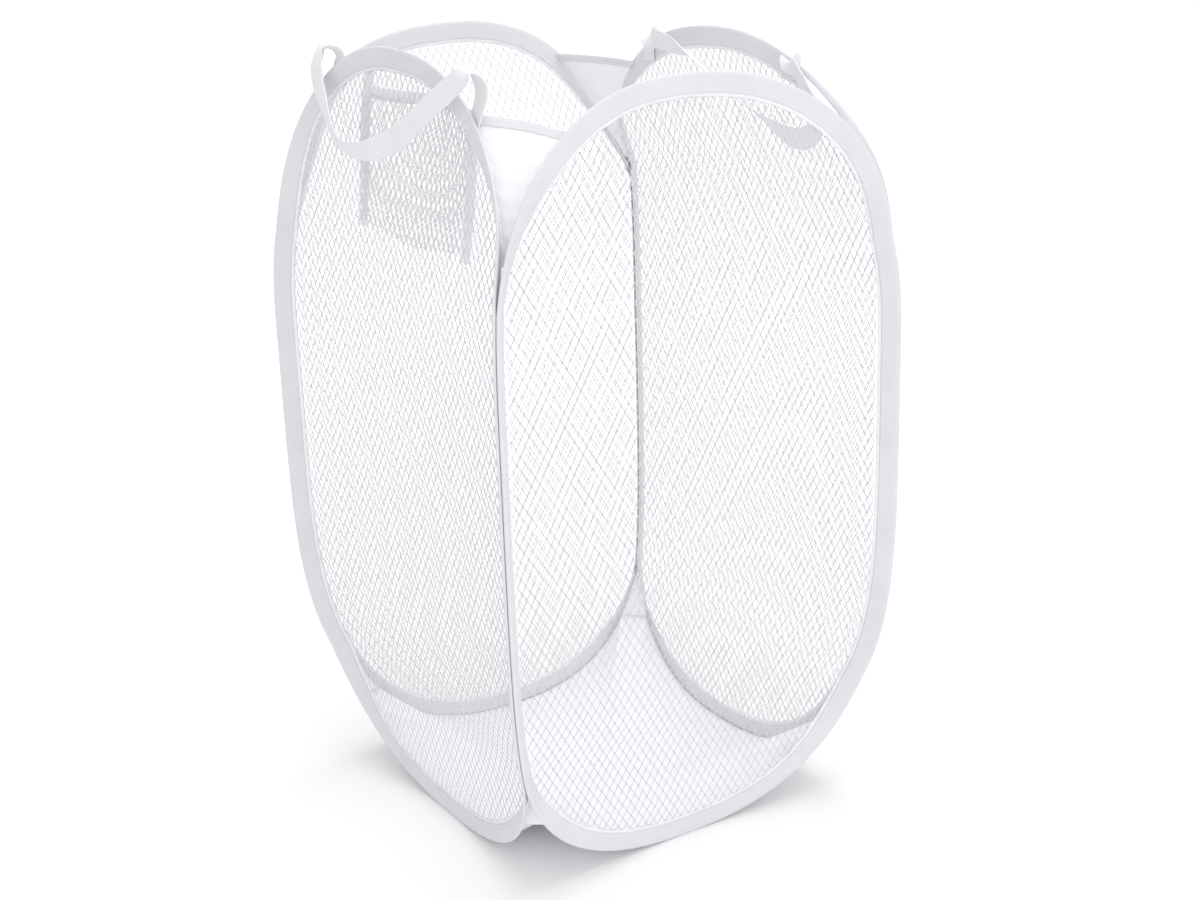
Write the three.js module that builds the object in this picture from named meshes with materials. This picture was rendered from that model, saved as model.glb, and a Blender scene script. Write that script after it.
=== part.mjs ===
// Pop up laundry hamper, in millimetres. +Z is up, the floor is z = 0, and the origin is the middle
// of the base. Four tall panels stand in a square. Each is a closed loop of flat spring wire in a
// folded tape, filled with net. Neighbouring tapes are sewn face to face at the corners, where
// they stand out as a double fin, and part above and below, where cloth gussets fill the corner.
// A base cloth closes the bottom, two straps are the handles, and a net pocket hangs inside.
import * as THREE from 'three';

// Whole hamper
const HAMPER_HEIGHT = 610;
const HAMPER_WIDTH = 358;
const BELLY_HEIGHT = 376;
const CLEARANCE = 0.3;
// Points this near to each other, or to a line, count as one with it
const SAME_PLACE = 0.001;

// Outline of a loop: a superellipse with its own powers above and below the belly
const UPPER_SIDE_POWER = 2.33;
const UPPER_RISE_POWER = 2.8;
const LOWER_SIDE_POWER = 2.36;
const LOWER_RISE_POWER = 4.9;

// How finely the loops are divided: stations round a loop are closer where its tape turns or
// twists, as if each turn were a bend of this radius
const LOOP_STATIONS = 52;
const TURN_RADIUS = HAMPER_WIDTH / 4;
const FINE_STEPS = 4000;
const ANGLE_STEP = 0.004;

// Corner seams, and how far from the middle the loops stand at crown and foot, where each leans
const SEAM_FOOT_HEIGHT = 99;
const SEAM_HEAD_DROP = 146;
const SEAM_HEAD_HEIGHT = HAMPER_HEIGHT - SEAM_HEAD_DROP;
const FRONT_CROWN_INSET = 14;
const SIDE_CROWN_INSET = 43;
const BACK_CROWN_OUTSET = 24;
const FOOT_INSET = 41;
const FRONT_CROWN_REACH = HAMPER_WIDTH / 2 - FRONT_CROWN_INSET;
const RIGHT_CROWN_REACH = HAMPER_WIDTH / 2 - SIDE_CROWN_INSET;
const BACK_CROWN_REACH = HAMPER_WIDTH / 2 + BACK_CROWN_OUTSET;
const LEFT_CROWN_REACH = RIGHT_CROWN_REACH;
const FOOT_REACH = HAMPER_WIDTH / 2 - FOOT_INSET;
const CROWN_LEAN_POWER = 1.3;
const FOOT_LEAN_POWER = 1;

// Edge tape: one strip folded over the wire and the rim of the net
const TAPE_WIDTH = 15;
const TAPE_CLOTH = 0.6;
const NET_THICKNESS = 0.8;

// Spring wire, a flat strip that lies in the fold of the tape
const WIRE_WIDTH = 3;
const WIRE_THICKNESS = 0.7;

// Panel nets: diamond gaps between crossing strands, and a rim held in the tape
const NET_CELL_WIDTH = 64;
const NET_CELL_HEIGHT = 98;
const NET_STRAND = 2.4;
const NET_SELVEDGE = 5;
const NET_HELD_DEPTH = 5;
const NET_BEND_DEPTH = 1.5;
const NET_DISH = 8;
const SMALLEST_GAP_SHARE = 0.08;
// A knitted net is never quite even, so no long row of its corners lies on one line
const KNIT_DRIFT_SHARES = [0, 0.11, -0.07, 0.05, -0.12, 0.08, -0.03];

// Gussets, base cloth and the hem tapes on the upper gussets
const CLOTH_THICKNESS = 0.8;
const CLOTH_LAP = 3;
const UPPER_GUSSET_APEX_DROP = 104;
const UPPER_GUSSET_HEM_DROP = 32;
const UPPER_GUSSET_APEX_HEIGHT = HAMPER_HEIGHT - UPPER_GUSSET_APEX_DROP;
const UPPER_GUSSET_HEM_HEIGHT = HAMPER_HEIGHT - UPPER_GUSSET_HEM_DROP;
const LOWER_GUSSET_APEX_DROP = 15;
const LOWER_GUSSET_APEX_HEIGHT = SEAM_FOOT_HEIGHT - LOWER_GUSSET_APEX_DROP;
const LOWER_GUSSET_EDGE_HEIGHT = 50;
const HEM_WIDTH = 8;
const HEM_CLOTH = 0.5;
const HEM_END_INSET = 3;
const BASE_FLAT_SHARE = 0.62;
const BASE_RISE_POWER = 2;
const BASE_FOOT_STATIONS = 10;
const BASE_CORNER_STATIONS = 2;
const BASE_RINGS = 3;
const GUSSET_ROWS = 5;
const GUSSET_COLUMNS = 4;

// Handle straps
const STRAP_WIDTH = 17;
const STRAP_THICKNESS = 1.2;
const STRAP_END_INSET = 86;
const STRAP_END_SPREAD = HAMPER_WIDTH / 2 - STRAP_END_INSET;
const STRAP_SEAT = 0.6;
const STRAP_BEND_GAP = 1.1;
const LEFT_STRAP_BEND_OUT = 7;
const LEFT_STRAP_BEND_RISE = 2;
const LEFT_STRAP_BEND_REACH = LEFT_CROWN_REACH + LEFT_STRAP_BEND_OUT;
const LEFT_STRAP_BEND_HEIGHT = HAMPER_HEIGHT + LEFT_STRAP_BEND_RISE;
const LEFT_STRAP_DROOP = 66;
const LEFT_STRAP_STANDOUT = 32;
const RIGHT_STRAP_BEND_IN = 5;
const RIGHT_STRAP_BEND_DROP = 6;
const RIGHT_STRAP_BEND_REACH = RIGHT_CROWN_REACH - RIGHT_STRAP_BEND_IN;
const RIGHT_STRAP_BEND_HEIGHT = HAMPER_HEIGHT - RIGHT_STRAP_BEND_DROP;
const RIGHT_STRAP_DROOP = 62;
const RIGHT_STRAP_STANDOUT = -22;
const STRAP_STATIONS = 24;
const STRAP_TWIST_PASSES = 30;
const TAB_STATIONS = 5;
const STRAP_LEVEL_SHARE = 0.5;
const STRAP_TURN_SHARE = 0.3;
const STRAP_TURN = 1.52;

// Routes of the loops as shares of spread, standout and droop. The left one droops in a wide U
// outside the panel. The right one curls back inside, with its slack at the front end.
const LEFT_STRAP_SHARES = [
  [1, 0, 0], [1, 0.25, 0.01], [0.85, 0.62, 0.16], [0.6, 0.86, 0.52], [0.3, 0.97, 0.88], [0, 1, 1],
  [-0.3, 0.97, 0.88], [-0.6, 0.86, 0.52], [-0.85, 0.62, 0.16], [-1, 0.25, 0.01], [-1, 0, 0],
];
const RIGHT_STRAP_SHARES = [
  [1, 0, 0], [1, 0.35, 0.02], [0.72, 0.68, 0.28], [0.25, 0.9, 0.58], [-0.3, 1, 0.84],
  [-0.8, 1, 1], [-1.06, 0.88, 0.86], [-1.1, 0.7, 0.4], [-1, 0.35, 0.03], [-1, 0, 0],
];

// Pocket on the inner side of the left panel
const POCKET_FRONT = 98;
const POCKET_BACK = 62;
const POCKET_MOUTH_DROP = 28;
const POCKET_MOUTH_HEIGHT = HAMPER_HEIGHT - POCKET_MOUTH_DROP;
const POCKET_DEPTH = 92;
const POCKET_SAG = 9;
const POCKET_DRAW = 0.6;
const POCKET_SWELL = 15;
const POCKET_SEAT = 1.7;
const POCKET_TAPE_WIDTH = 9;
const POCKET_TAPE_THICKNESS = 0.8;
const POCKET_TAPE_TIP = 7;
const POCKET_CELL_WIDTH = 36;
const POCKET_CELL_HEIGHT = 40;
const POCKET_FULL_SHARE = 0.7;
const POCKET_STEPS = 7;
const BOX_CORNER_POWER = 8;
const BOX_OUTLINE_POINTS = 28;

const QUARTER_TURN = Math.PI / 2;
const SIDES = [
  { name: 'front', crownReach: FRONT_CROWN_REACH },
  { name: 'right', crownReach: RIGHT_CROWN_REACH },
  { name: 'back', crownReach: BACK_CROWN_REACH },
  { name: 'left', crownReach: LEFT_CROWN_REACH },
];
const CORNER_NAMES = ['front_right', 'back_right', 'back_left', 'front_left'];

const UPPER_LOOP = {
  rise: HAMPER_HEIGHT - BELLY_HEIGHT, side: UPPER_SIDE_POWER, power: UPPER_RISE_POWER,
};
const LOWER_LOOP = { rise: BELLY_HEIGHT, side: LOWER_SIDE_POWER, power: LOWER_RISE_POWER };
const TAPE_HALF = NET_THICKNESS / 2 + CLEARANCE + TAPE_CLOTH;
const FIN_SHIFT = (TAPE_HALF + CLEARANCE / 2) / Math.SQRT2;

const FINISHES = {
  tape: { color: 0xe6e5ea, roughness: 0.75, metalness: 0 },
  net: { color: 0xf2f1f5, roughness: 0.8, metalness: 0 },
  cloth: { color: 0xf3f2f6, roughness: 0.85, metalness: 0 },
  strap: { color: 0xe2e0e5, roughness: 0.75, metalness: 0 },
  wire: { color: 0xb9bcc0, roughness: 0.35, metalness: 1 },
};

const smoothstep = (share) => {
  const held = THREE.MathUtils.clamp(share, 0, 1);
  return held * held * (3 - 2 * held);
};

// Helpers: closed bodies from rings of points, from sheets and from nets

function bodyFromFaces(points, faces) {
  const geometry = new THREE.BufferGeometry();
  const places = new Float32Array(points.flatMap((point) => [point.x, point.y, point.z]));
  geometry.setAttribute('position', new THREE.BufferAttribute(places, 3));
  geometry.setIndex(faces.flat());
  geometry.computeVertexNormals();
  return geometry;
}

function flipped(faces) {
  return faces.map(([a, b, c]) => [a, c, b]);
}

function enclosedVolume(points, faces) {
  const sixths = faces.map(([a, b, c]) => points[a].dot(points[b].clone().cross(points[c])));
  return sixths.reduce((sum, part) => sum + part, 0) / 6;
}

function outwardBody(points, faces) {
  return bodyFromFaces(points, enclosedVolume(points, faces) < 0 ? flipped(faces) : faces);
}

// Skin round rings of points: the last ring joins the first, or both ends are capped by a strip
// between the two halves of a ring. Each facet is
// split from its lower level on one ring to its higher level on the next, so nested skins match.
function sweptBody(rings, closed, levels) {
  const size = rings[0].length;
  const faces = [];
  const spans = closed ? rings.length : rings.length - 1;
  for (let ring = 0; ring < spans; ring += 1) {
    const here = ring * size;
    const next = ((ring + 1) % rings.length) * size;
    for (let side = 0; side < size; side += 1) {
      const after = (side + 1) % size;
      if (levels[after] >= levels[side]) {
        faces.push([here + side, next + side, next + after], [here + side, next + after, here + after]);
      } else {
        faces.push([here + side, next + side, here + after], [next + side, next + after, here + after]);
      }
    }
  }
  if (!closed) {
    const far = (rings.length - 1) * size;
    for (let side = 0; side < size / 2 - 1; side += 1) {
      const [b, d, e] = [side + 1, size - 2 - side, size - 1 - side];
      faces.push([side, b, d], [side, d, e], [far + side, far + d, far + b], [far + side, far + e, far + d]);
    }
  }
  return outwardBody(rings.flat(), faces);
}

// Normals of a grid of points, by the cross of its row and column directions
function gridNormals(grid, closedRows) {
  return grid.map((row, r) => row.map((point, c) => {
    const last = row.length - 1;
    const left = closedRows ? row[(c + last) % row.length] : row[Math.max(c - 1, 0)];
    const right = closedRows ? row[(c + 1) % row.length] : row[Math.min(c + 1, last)];
    const below = grid[Math.max(r - 1, 0)][c];
    const above = grid[Math.min(r + 1, grid.length - 1)][c];
    return right.clone().sub(left).cross(above.clone().sub(below)).normalize();
  }));
}

// A sheet of cloth: two copies of a grid, half a thickness to either side, joined at the edges
function sheetBody(grid, thickness) {
  const rows = grid.length;
  const columns = grid[0].length;
  const normals = gridNormals(grid, false);
  const layer = (side) => grid.flatMap((row, r) => row.map((point, c) => (
    point.clone().addScaledVector(normals[r][c], side * thickness / 2))));
  const points = [...layer(1), ...layer(-1)];
  const under = rows * columns;
  const faces = [];
  for (let r = 0; r < rows - 1; r += 1) {
    for (let c = 0; c < columns - 1; c += 1) {
      const a = r * columns + c;
      const b = a + 1;
      const d = a + columns;
      const e = d + 1;
      faces.push([a, b, e], [a, e, d], [under + a, under + e, under + b], [under + a, under + d, under + e]);
    }
  }
  const rim = [];
  for (let c = 0; c < columns - 1; c += 1) rim.push(c);
  for (let r = 0; r < rows - 1; r += 1) rim.push(r * columns + columns - 1);
  for (let c = columns - 1; c > 0; c -= 1) rim.push((rows - 1) * columns + c);
  for (let r = rows - 1; r > 0; r -= 1) rim.push(r * columns);
  rim.forEach((a, k) => {
    const b = rim[(k + 1) % rim.length];
    faces.push([a, under + a, under + b], [a, under + b, b]);
  });
  return outwardBody(points, faces);
}

function area(polygon) {
  return Math.abs(THREE.ShapeUtils.area(polygon));
}

// The part of a polygon on the inner side of every edge of a convex outline
function clippedTo(polygon, outline) {
  let kept = polygon;
  outline.forEach((start, k) => {
    const end = outline[(k + 1) % outline.length];
    const way = end.clone().sub(start);
    const side = (point) => way.cross(point.clone().sub(start));
    const next = [];
    kept.forEach((point, j) => {
      const following = kept[(j + 1) % kept.length];
      const here = side(point);
      const there = side(following);
      if (here >= 0) next.push(point);
      if (here * there < 0) next.push(point.clone().lerp(following, here / (here - there)));
    });
    kept = next;
  });
  return kept.filter((point, k) => point.distanceTo(kept[(k + 1) % kept.length]) > SAME_PLACE);
}

// Convex outline that fills a box up to its rounded corners
function roundedBox(left, right, bottom, top) {
  const quarter = (value) => Math.sign(value) * Math.abs(value) ** (2 / BOX_CORNER_POWER);
  return Array.from({ length: BOX_OUTLINE_POINTS }, (_, k) => {
    const angle = 4 * QUARTER_TURN * k / BOX_OUTLINE_POINTS;
    return new THREE.Vector2(
      THREE.MathUtils.lerp(left, right, (1 + quarter(Math.cos(angle))) / 2),
      THREE.MathUtils.lerp(bottom, top, (1 + quarter(Math.sin(angle))) / 2),
    );
  });
}

// Diamond gaps in staggered rows, cut off where they would leave the outline
function diamondGaps(outline, cellWidth, cellHeight, strand) {
  const box = new THREE.Box2().setFromPoints(outline);
  const middle = box.getCenter(new THREE.Vector2());
  const slope = Math.hypot(cellWidth, cellHeight);
  const halfWidth = cellWidth / 2 - strand * slope / cellHeight / 2;
  const halfHeight = cellHeight / 2 - strand * slope / cellWidth / 2;
  const columns = Math.ceil((box.max.x - box.min.x) / cellWidth) + 1;
  const rows = Math.ceil((box.max.y - box.min.y) / cellHeight) * 2 + 2;
  const least = halfWidth * halfHeight * 2 * SMALLEST_GAP_SHARE;
  const gaps = [];
  for (let row = -rows; row <= rows; row += 1) {
    for (let column = -columns; column <= columns; column += 1) {
      const knit = (row + rows + 3 * (column + columns)) % KNIT_DRIFT_SHARES.length;
      const drift = strand * KNIT_DRIFT_SHARES[knit];
      const x = middle.x + (column + Math.abs(row % 2) / 2) * cellWidth + drift;
      const y = middle.y + row * cellHeight / 2 + drift / 2;
      const diamond = [[halfWidth, 0], [0, halfHeight], [-halfWidth, 0], [0, -halfHeight]];
      const gap = clippedTo(diamond.map(([dx, dy]) => new THREE.Vector2(x + dx, y + dy)), outline);
      if (gap.length > 2 && area(gap) > least) gaps.push(gap);
    }
  }
  return gaps;
}

// The sides of the triangles that have neither a neighbour nor an outline edge on them
function openSides(triangles, outlineSides) {
  const taken = new Set(outlineSides);
  triangles.forEach((facet) => facet.forEach((a, k) => taken.add(`${facet[(k + 1) % 3]} ${a}`)));
  const sides = triangles.flatMap((facet, f) => facet.map((a, k) => (
    { f, a, b: facet[(k + 1) % 3], far: facet[(k + 2) % 3] })));
  return sides.filter(({ a, b }) => !taken.has(`${a} ${b}`));
}

// The triangles with no point passed over. A triangulation leaves out a point that lies straight
// between two others, so a side that runs over such a point is split there.
function withEveryPoint(flat, outlines, triangles) {
  const outlineSides = outlines.flatMap((outline) => outline.flatMap((a, k) => {
    const b = outline[(k + 1) % outline.length];
    return [`${a} ${b}`, `${b} ${a}`];
  }));
  const facets = [...triangles];
  let split = true;
  while (split) {
    const sides = openSides(facets, outlineSides);
    split = sides.some(({ f, a, b, far }) => {
      const way = flat[b].clone().sub(flat[a]);
      const passed = flat.findIndex((point, p) => {
        const step = point.clone().sub(flat[a]);
        const share = step.dot(way) / way.lengthSq();
        const aside = step.addScaledVector(way, -share).length();
        return p !== a && p !== b && share > 0 && share < 1 && aside < SAME_PLACE;
      });
      if (passed < 0) return false;
      facets.splice(f, 1, [a, passed, far], [passed, b, far]);
      return true;
    });
  }
  return facets;
}

// Triangles over the same flat points, with the shared edge of two turned to their other diagonal
// wherever that makes both less slender. It ends when every pair is at its best.
function evened(flat, triangles) {
  const facets = [...triangles];
  const angle = (corner, a, b) => {
    const [one, two] = [flat[a].clone().sub(flat[corner]), flat[b].clone().sub(flat[corner])];
    return Math.abs(Math.atan2(one.cross(two), one.dot(two)));
  };
  let turned = true;
  while (turned) {
    turned = false;
    const owners = new Map();
    facets.forEach((facet, f) => facet.forEach((a, k) => (
      owners.set(`${a} ${facet[(k + 1) % 3]}`, { f, a, b: facet[(k + 1) % 3], far: facet[(k + 2) % 3] }))));
    const done = new Set();
    owners.forEach(({ f, a, b, far }) => {
      const other = owners.get(`${b} ${a}`);
      if (!other || done.has(f) || done.has(other.f)) return;
      if (angle(far, a, b) + angle(other.far, a, b) < Math.PI + ANGLE_STEP) return;
      facets[f] = [a, other.far, far];
      facets[other.f] = [other.far, b, far];
      done.add(f).add(other.f);
      turned = true;
    });
  }
  return facets;
}

// A net is a plate with gaps, bent by a place function that turns a flat point into a point and a
// normal. Rims are further closed rows of points and normals outside the flat contour.
function netBody(contour, gaps, place, thickness, rims) {
  const flat = [...contour, ...gaps.flat()];
  const placeOf = new Map(flat.map((point, k) => [point, k]));
  const outlines = [contour, ...gaps].map((outline) => outline.map((point) => placeOf.get(point)));
  const cut = THREE.ShapeUtils.triangulateShape(contour, gaps).map(([a, b, c]) => {
    const turn = flat[b].clone().sub(flat[a]).cross(flat[c].clone().sub(flat[a]));
    return turn > 0 ? [a, b, c] : [a, c, b];
  });
  const triangles = evened(flat, withEveryPoint(flat, outlines, cut));
  const seats = [...flat.map(place), ...rims.flat()];
  const under = seats.length;
  const points = [1, -1].flatMap((side) => seats.map(({ point, normal }) => (
    point.clone().addScaledVector(normal, side * thickness / 2))));
  const faces = triangles.flatMap(([a, b, c]) => [[a, b, c], [under + a, under + c, under + b]]);
  const wall = (a, b) => faces.push([a, under + a, under + b], [a, under + b, b]);
  let first = contour.length;
  gaps.forEach((gap) => {
    const back = THREE.ShapeUtils.area(gap) > 0;
    gap.forEach((_, k) => {
      const a = first + k;
      const b = first + (k + 1) % gap.length;
      if (back) wall(b, a);
      else wall(a, b);
    });
    first += gap.length;
  });
  let row = 0;
  rims.forEach((rim) => {
    rim.forEach((_, k) => {
      const next = (k + 1) % rim.length;
      const [a, b, d, e] = [row + k, row + next, first + k, first + next];
      faces.push([a, d, b], [b, d, e], [under + a, under + b, under + d], [under + b, under + e, under + d]);
    });
    row = first;
    first += rim.length;
  });
  contour.forEach((_, k) => wall(row + k, row + (k + 1) % contour.length));
  return outwardBody(points, faces);
}

// A flat ribbon along a route: width and thickness directions come with each station
function ribbonBody(stations, width, thickness) {
  const rings = stations.map(({ point, across, face }) => (
    [[1, 1], [-1, 1], [-1, -1], [1, -1]].map(([sideways, upward]) => point.clone()
      .addScaledVector(across, sideways * width / 2)
      .addScaledVector(face, upward * thickness / 2))));
  return sweptBody(rings, false, [1, 0, 0, 1]);
}

// Stations on a smooth curve through route points, with the width turned towards a given direction
function ribbonStations(route, widthwise, count) {
  const curve = new THREE.CatmullRomCurve3(route, false, 'centripetal');
  return Array.from({ length: count + 1 }, (_, k) => {
    const share = k / count;
    const point = curve.getPointAt(share);
    const tangent = curve.getTangentAt(share);
    const across = widthwise(share, point);
    across.addScaledVector(tangent, -across.dot(tangent)).normalize();
    return { point, across, face: tangent.clone().cross(across).normalize() };
  });
}

// The same stations with the twist spread evenly from one end to the other
function evenTwist(stations, passes) {
  const tangents = stations.map(({ across, face }) => across.clone().cross(face));
  const ways = stations.map(({ across }) => across.clone());
  for (let pass = 0; pass < passes; pass += 1) {
    for (let k = 1; k < ways.length - 1; k += 1) {
      ways[k].add(ways[k - 1]).add(ways[k + 1]);
      ways[k].addScaledVector(tangents[k], -ways[k].dot(tangents[k])).normalize();
    }
  }
  return stations.map(({ point }, k) => (
    { point, across: ways[k], face: tangents[k].clone().cross(ways[k]) }));
}

// One loop: local x runs along the panel, local y points into the hamper, z is up

function halfWidthAt(height) {
  const { rise, side, power } = height > BELLY_HEIGHT ? UPPER_LOOP : LOWER_LOOP;
  const share = Math.min(Math.abs(height - BELLY_HEIGHT) / rise, 1);
  return HAMPER_WIDTH / 2 * (1 - share ** power) ** (1 / side);
}

function reachAt(height, crownReach) {
  if (height > SEAM_HEAD_HEIGHT) {
    const share = (height - SEAM_HEAD_HEIGHT) / (HAMPER_HEIGHT - SEAM_HEAD_HEIGHT);
    return THREE.MathUtils.lerp(halfWidthAt(SEAM_HEAD_HEIGHT), crownReach, share ** CROWN_LEAN_POWER);
  }
  if (height < SEAM_FOOT_HEIGHT) {
    const share = (SEAM_FOOT_HEIGHT - height) / SEAM_FOOT_HEIGHT;
    return THREE.MathUtils.lerp(halfWidthAt(SEAM_FOOT_HEIGHT), FOOT_REACH, share ** FOOT_LEAN_POWER);
  }
  return halfWidthAt(height);
}

// How far the tape is turned out of the panel: 1 on the corner seams, 0 at crown and foot
function finShare(height) {
  const above = (height - SEAM_HEAD_HEIGHT) / (HAMPER_HEIGHT - SEAM_HEAD_HEIGHT);
  const below = (SEAM_FOOT_HEIGHT - height) / SEAM_FOOT_HEIGHT;
  return 1 - smoothstep(Math.max(above, below, 0));
}

// Point on the outer edge of the tape. Angle 0 is the belly at +x and a quarter turn the crown.
function edgePoint(angle, crownReach) {
  const across = Math.cos(angle);
  const upward = Math.sin(angle);
  const { rise, side, power } = upward > 0 ? UPPER_LOOP : LOWER_LOOP;
  const along = (HAMPER_WIDTH / 2 - FIN_SHIFT) * Math.sign(across) * Math.abs(across) ** (2 / side);
  const height = BELLY_HEIGHT + Math.sign(upward) * rise * Math.abs(upward) ** (2 / power);
  return new THREE.Vector3(along, -reachAt(height, crownReach) - FIN_SHIFT, height);
}

function angleAtHeight(height) {
  const above = height > BELLY_HEIGHT;
  const { rise, power } = above ? UPPER_LOOP : LOWER_LOOP;
  const angle = Math.asin((Math.abs(height - BELLY_HEIGHT) / rise) ** (power / 2));
  return above ? angle : -angle;
}

// Frame of the tape at an angle: its edge, the way out of the loop, and the way to its inner face
function tapeFrame(angle, crownReach) {
  const point = edgePoint(angle, crownReach);
  const tangent = edgePoint(angle + ANGLE_STEP, crownReach).sub(edgePoint(angle - ANGLE_STEP, crownReach));
  tangent.normalize();
  const outward = new THREE.Vector3(tangent.z, -finShare(point.z) * Math.abs(tangent.z), -tangent.x);
  outward.addScaledVector(tangent, -outward.dot(tangent)).normalize();
  return { point, outward, inner: tangent.clone().cross(outward).normalize() };
}

// Point of a tape frame at a depth from its outer edge and a distance towards its inner face
function inTape(frame, depth, inward) {
  return frame.point.clone().addScaledVector(frame.outward, -depth).addScaledVector(frame.inner, inward);
}

// Angles of the stations, from the crown round to the crown: evenly spaced where the loop runs
// straight, and closer together where the tape turns or twists
function stationAngles(count) {
  const reach = (FRONT_CROWN_REACH + LEFT_CROWN_REACH) / 2;
  const fine = Array.from({ length: FINE_STEPS + 1 }, (_, k) => QUARTER_TURN * (1 + 4 * k / FINE_STEPS));
  const frames = fine.map((angle) => tapeFrame(angle, reach));
  const efforts = [0];
  for (let k = 1; k <= FINE_STEPS; k += 1) {
    const span = frames[k].point.distanceTo(frames[k - 1].point);
    const bend = frames[k].outward.angleTo(frames[k - 1].outward);
    const twist = frames[k].inner.angleTo(frames[k - 1].inner);
    efforts.push(efforts[k - 1] + span + (bend + twist) * TURN_RADIUS);
  }
  const whole = efforts[FINE_STEPS];
  return Array.from({ length: count }, (_, k) => {
    const target = whole * k / count;
    const after = Math.max(efforts.findIndex((effort) => effort >= target), 1);
    const share = (target - efforts[after - 1]) / (efforts[after] - efforts[after - 1]);
    return THREE.MathUtils.lerp(fine[after - 1], fine[after], share);
  });
}
const LOOP_ANGLES = stationAngles(LOOP_STATIONS);

// Sub-parts of a panel

function sectionSwept(frames, section) {
  const rings = frames.map((frame) => section.map(([depth, inward]) => inTape(frame, depth, inward)));
  return sweptBody(rings, true, section.map(([depth]) => depth));
}

function edgeTape(frames) {
  const slot = TAPE_HALF - TAPE_CLOTH;
  const fold = TAPE_CLOTH * Math.SQRT2;
  const netRim = TAPE_WIDTH - NET_HELD_DEPTH;
  return sectionSwept(frames, [
    [TAPE_WIDTH, TAPE_HALF], [TAPE_HALF, TAPE_HALF], [0, 0], [TAPE_HALF, -TAPE_HALF],
    [TAPE_WIDTH, -TAPE_HALF], [TAPE_WIDTH, -slot], [netRim, -slot], [TAPE_HALF, -slot], [fold, 0],
    [TAPE_HALF, slot], [netRim, slot], [TAPE_WIDTH, slot],
  ]);
}

function springWire(frames) {
  const start = TAPE_HALF + CLEARANCE;
  const half = WIRE_THICKNESS / 2;
  return sectionSwept(frames, [
    [start, half], [start, -half], [start + WIRE_WIDTH, -half], [start + WIRE_WIDTH, half],
  ]);
}

// Where the net leaves the mouth of the tape, as places by height on the +x half of the loop
function bendLine(crownReach) {
  const half = LOOP_ANGLES.filter((angle) => edgePoint(angle, crownReach).x > -CLEARANCE);
  return half.map((angle) => inTape(tapeFrame(angle, crownReach), TAPE_WIDTH + NET_BEND_DEPTH, 0))
    .sort((a, b) => a.z - b.z);
}

// The net's surface: level with its rim at the sides, and drawn a little inwards between them
function netSurface(crownReach) {
  const rim = bendLine(crownReach);
  const lowest = rim[0].z;
  const highest = rim[rim.length - 1].z;
  return (along, height) => {
    const held = THREE.MathUtils.clamp(height, lowest, highest);
    const above = THREE.MathUtils.clamp(rim.findIndex((point) => point.z >= held), 1, rim.length - 1);
    const share = (held - rim[above - 1].z) / (rim[above].z - rim[above - 1].z);
    const edge = rim[above - 1].clone().lerp(rim[above], share);
    const across = Math.min((along / Math.max(edge.x, CLEARANCE)) ** 2, 1);
    const upward = Math.sin(Math.PI * (held - lowest) / (highest - lowest));
    return new THREE.Vector3(along, edge.y + NET_DISH * (1 - across) * upward, height);
  };
}

// Point and outward normal of a surface that gives a point for each place along and height
function seatOn(surface, step) {
  return ({ x, y }) => {
    const sideways = surface(x + step, y).sub(surface(x - step, y));
    const upward = surface(x, y + step).sub(surface(x, y - step));
    return { point: surface(x, y), normal: sideways.cross(upward).normalize() };
  };
}

function panelNet(frames, crownReach) {
  const seat = seatOn(netSurface(crownReach), NET_SELVEDGE);
  const bend = frames.map((frame) => inTape(frame, TAPE_WIDTH + NET_BEND_DEPTH, 0));
  const contour = bend.map((point) => new THREE.Vector2(point.x, point.z));
  const inset = frames.map((frame) => inTape(frame, TAPE_WIDTH + NET_BEND_DEPTH + NET_SELVEDGE, 0))
    .map((point) => new THREE.Vector2(point.x, point.z));
  const gaps = diamondGaps(inset, NET_CELL_WIDTH, NET_CELL_HEIGHT, NET_STRAND);
  const rimIndex = new Map(contour.map((point, k) => [point, k]));
  const place = (point) => {
    if (!rimIndex.has(point)) return seat(point);
    const k = rimIndex.get(point);
    const normal = seat(point).normal.add(frames[k].inner.clone().negate()).normalize();
    return { point: bend[k], normal };
  };
  const rim = (depth) => frames.map((frame) => (
    { point: inTape(frame, depth, 0), normal: frame.inner.clone().negate() }));
  const rims = [rim(TAPE_WIDTH + NET_BEND_DEPTH / 3), rim(TAPE_WIDTH - NET_HELD_DEPTH)];
  return netBody(contour, gaps, place, NET_THICKNESS, rims);
}

// Cloth between the tapes of a panel and of the next one, a quarter turn on

function clothEdge(height, crownReach, mirrored) {
  const angle = angleAtHeight(height);
  const frame = tapeFrame(angle, crownReach);
  const point = inTape(frame, TAPE_WIDTH - CLOTH_LAP, TAPE_HALF + CLEARANCE + CLOTH_THICKNESS / 2);
  if (mirrored) point.setX(-point.x);
  return point;
}

// Row of points across corner k at a height, from this panel's tape to the next one's
function cornerRow(k, height, columns, inset) {
  const here = clothEdge(height, SIDES[k].crownReach, false);
  const there = clothEdge(height, SIDES[(k + 1) % SIDES.length].crownReach, true);
  there.applyAxisAngle(new THREE.Vector3(0, 0, 1), QUARTER_TURN);
  const margin = inset / here.distanceTo(there);
  return Array.from({ length: columns + 1 }, (_, c) => (
    here.clone().lerp(there, THREE.MathUtils.lerp(margin, 1 - margin, c / columns))));
}

// Gusset from its apex to its wide edge, with a last row of its own for what is folded over that edge
function gusset(k, apexHeight, edgeHeight, edgeBand) {
  const bandHeight = edgeHeight - edgeBand;
  const heights = Array.from({ length: GUSSET_ROWS }, (_, r) => (
    THREE.MathUtils.lerp(apexHeight, bandHeight, r / (GUSSET_ROWS - 1))));
  if (edgeBand) heights.push(edgeHeight);
  return sheetBody(heights.map((height) => cornerRow(k, height, GUSSET_COLUMNS, 0)), CLOTH_THICKNESS);
}

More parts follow.
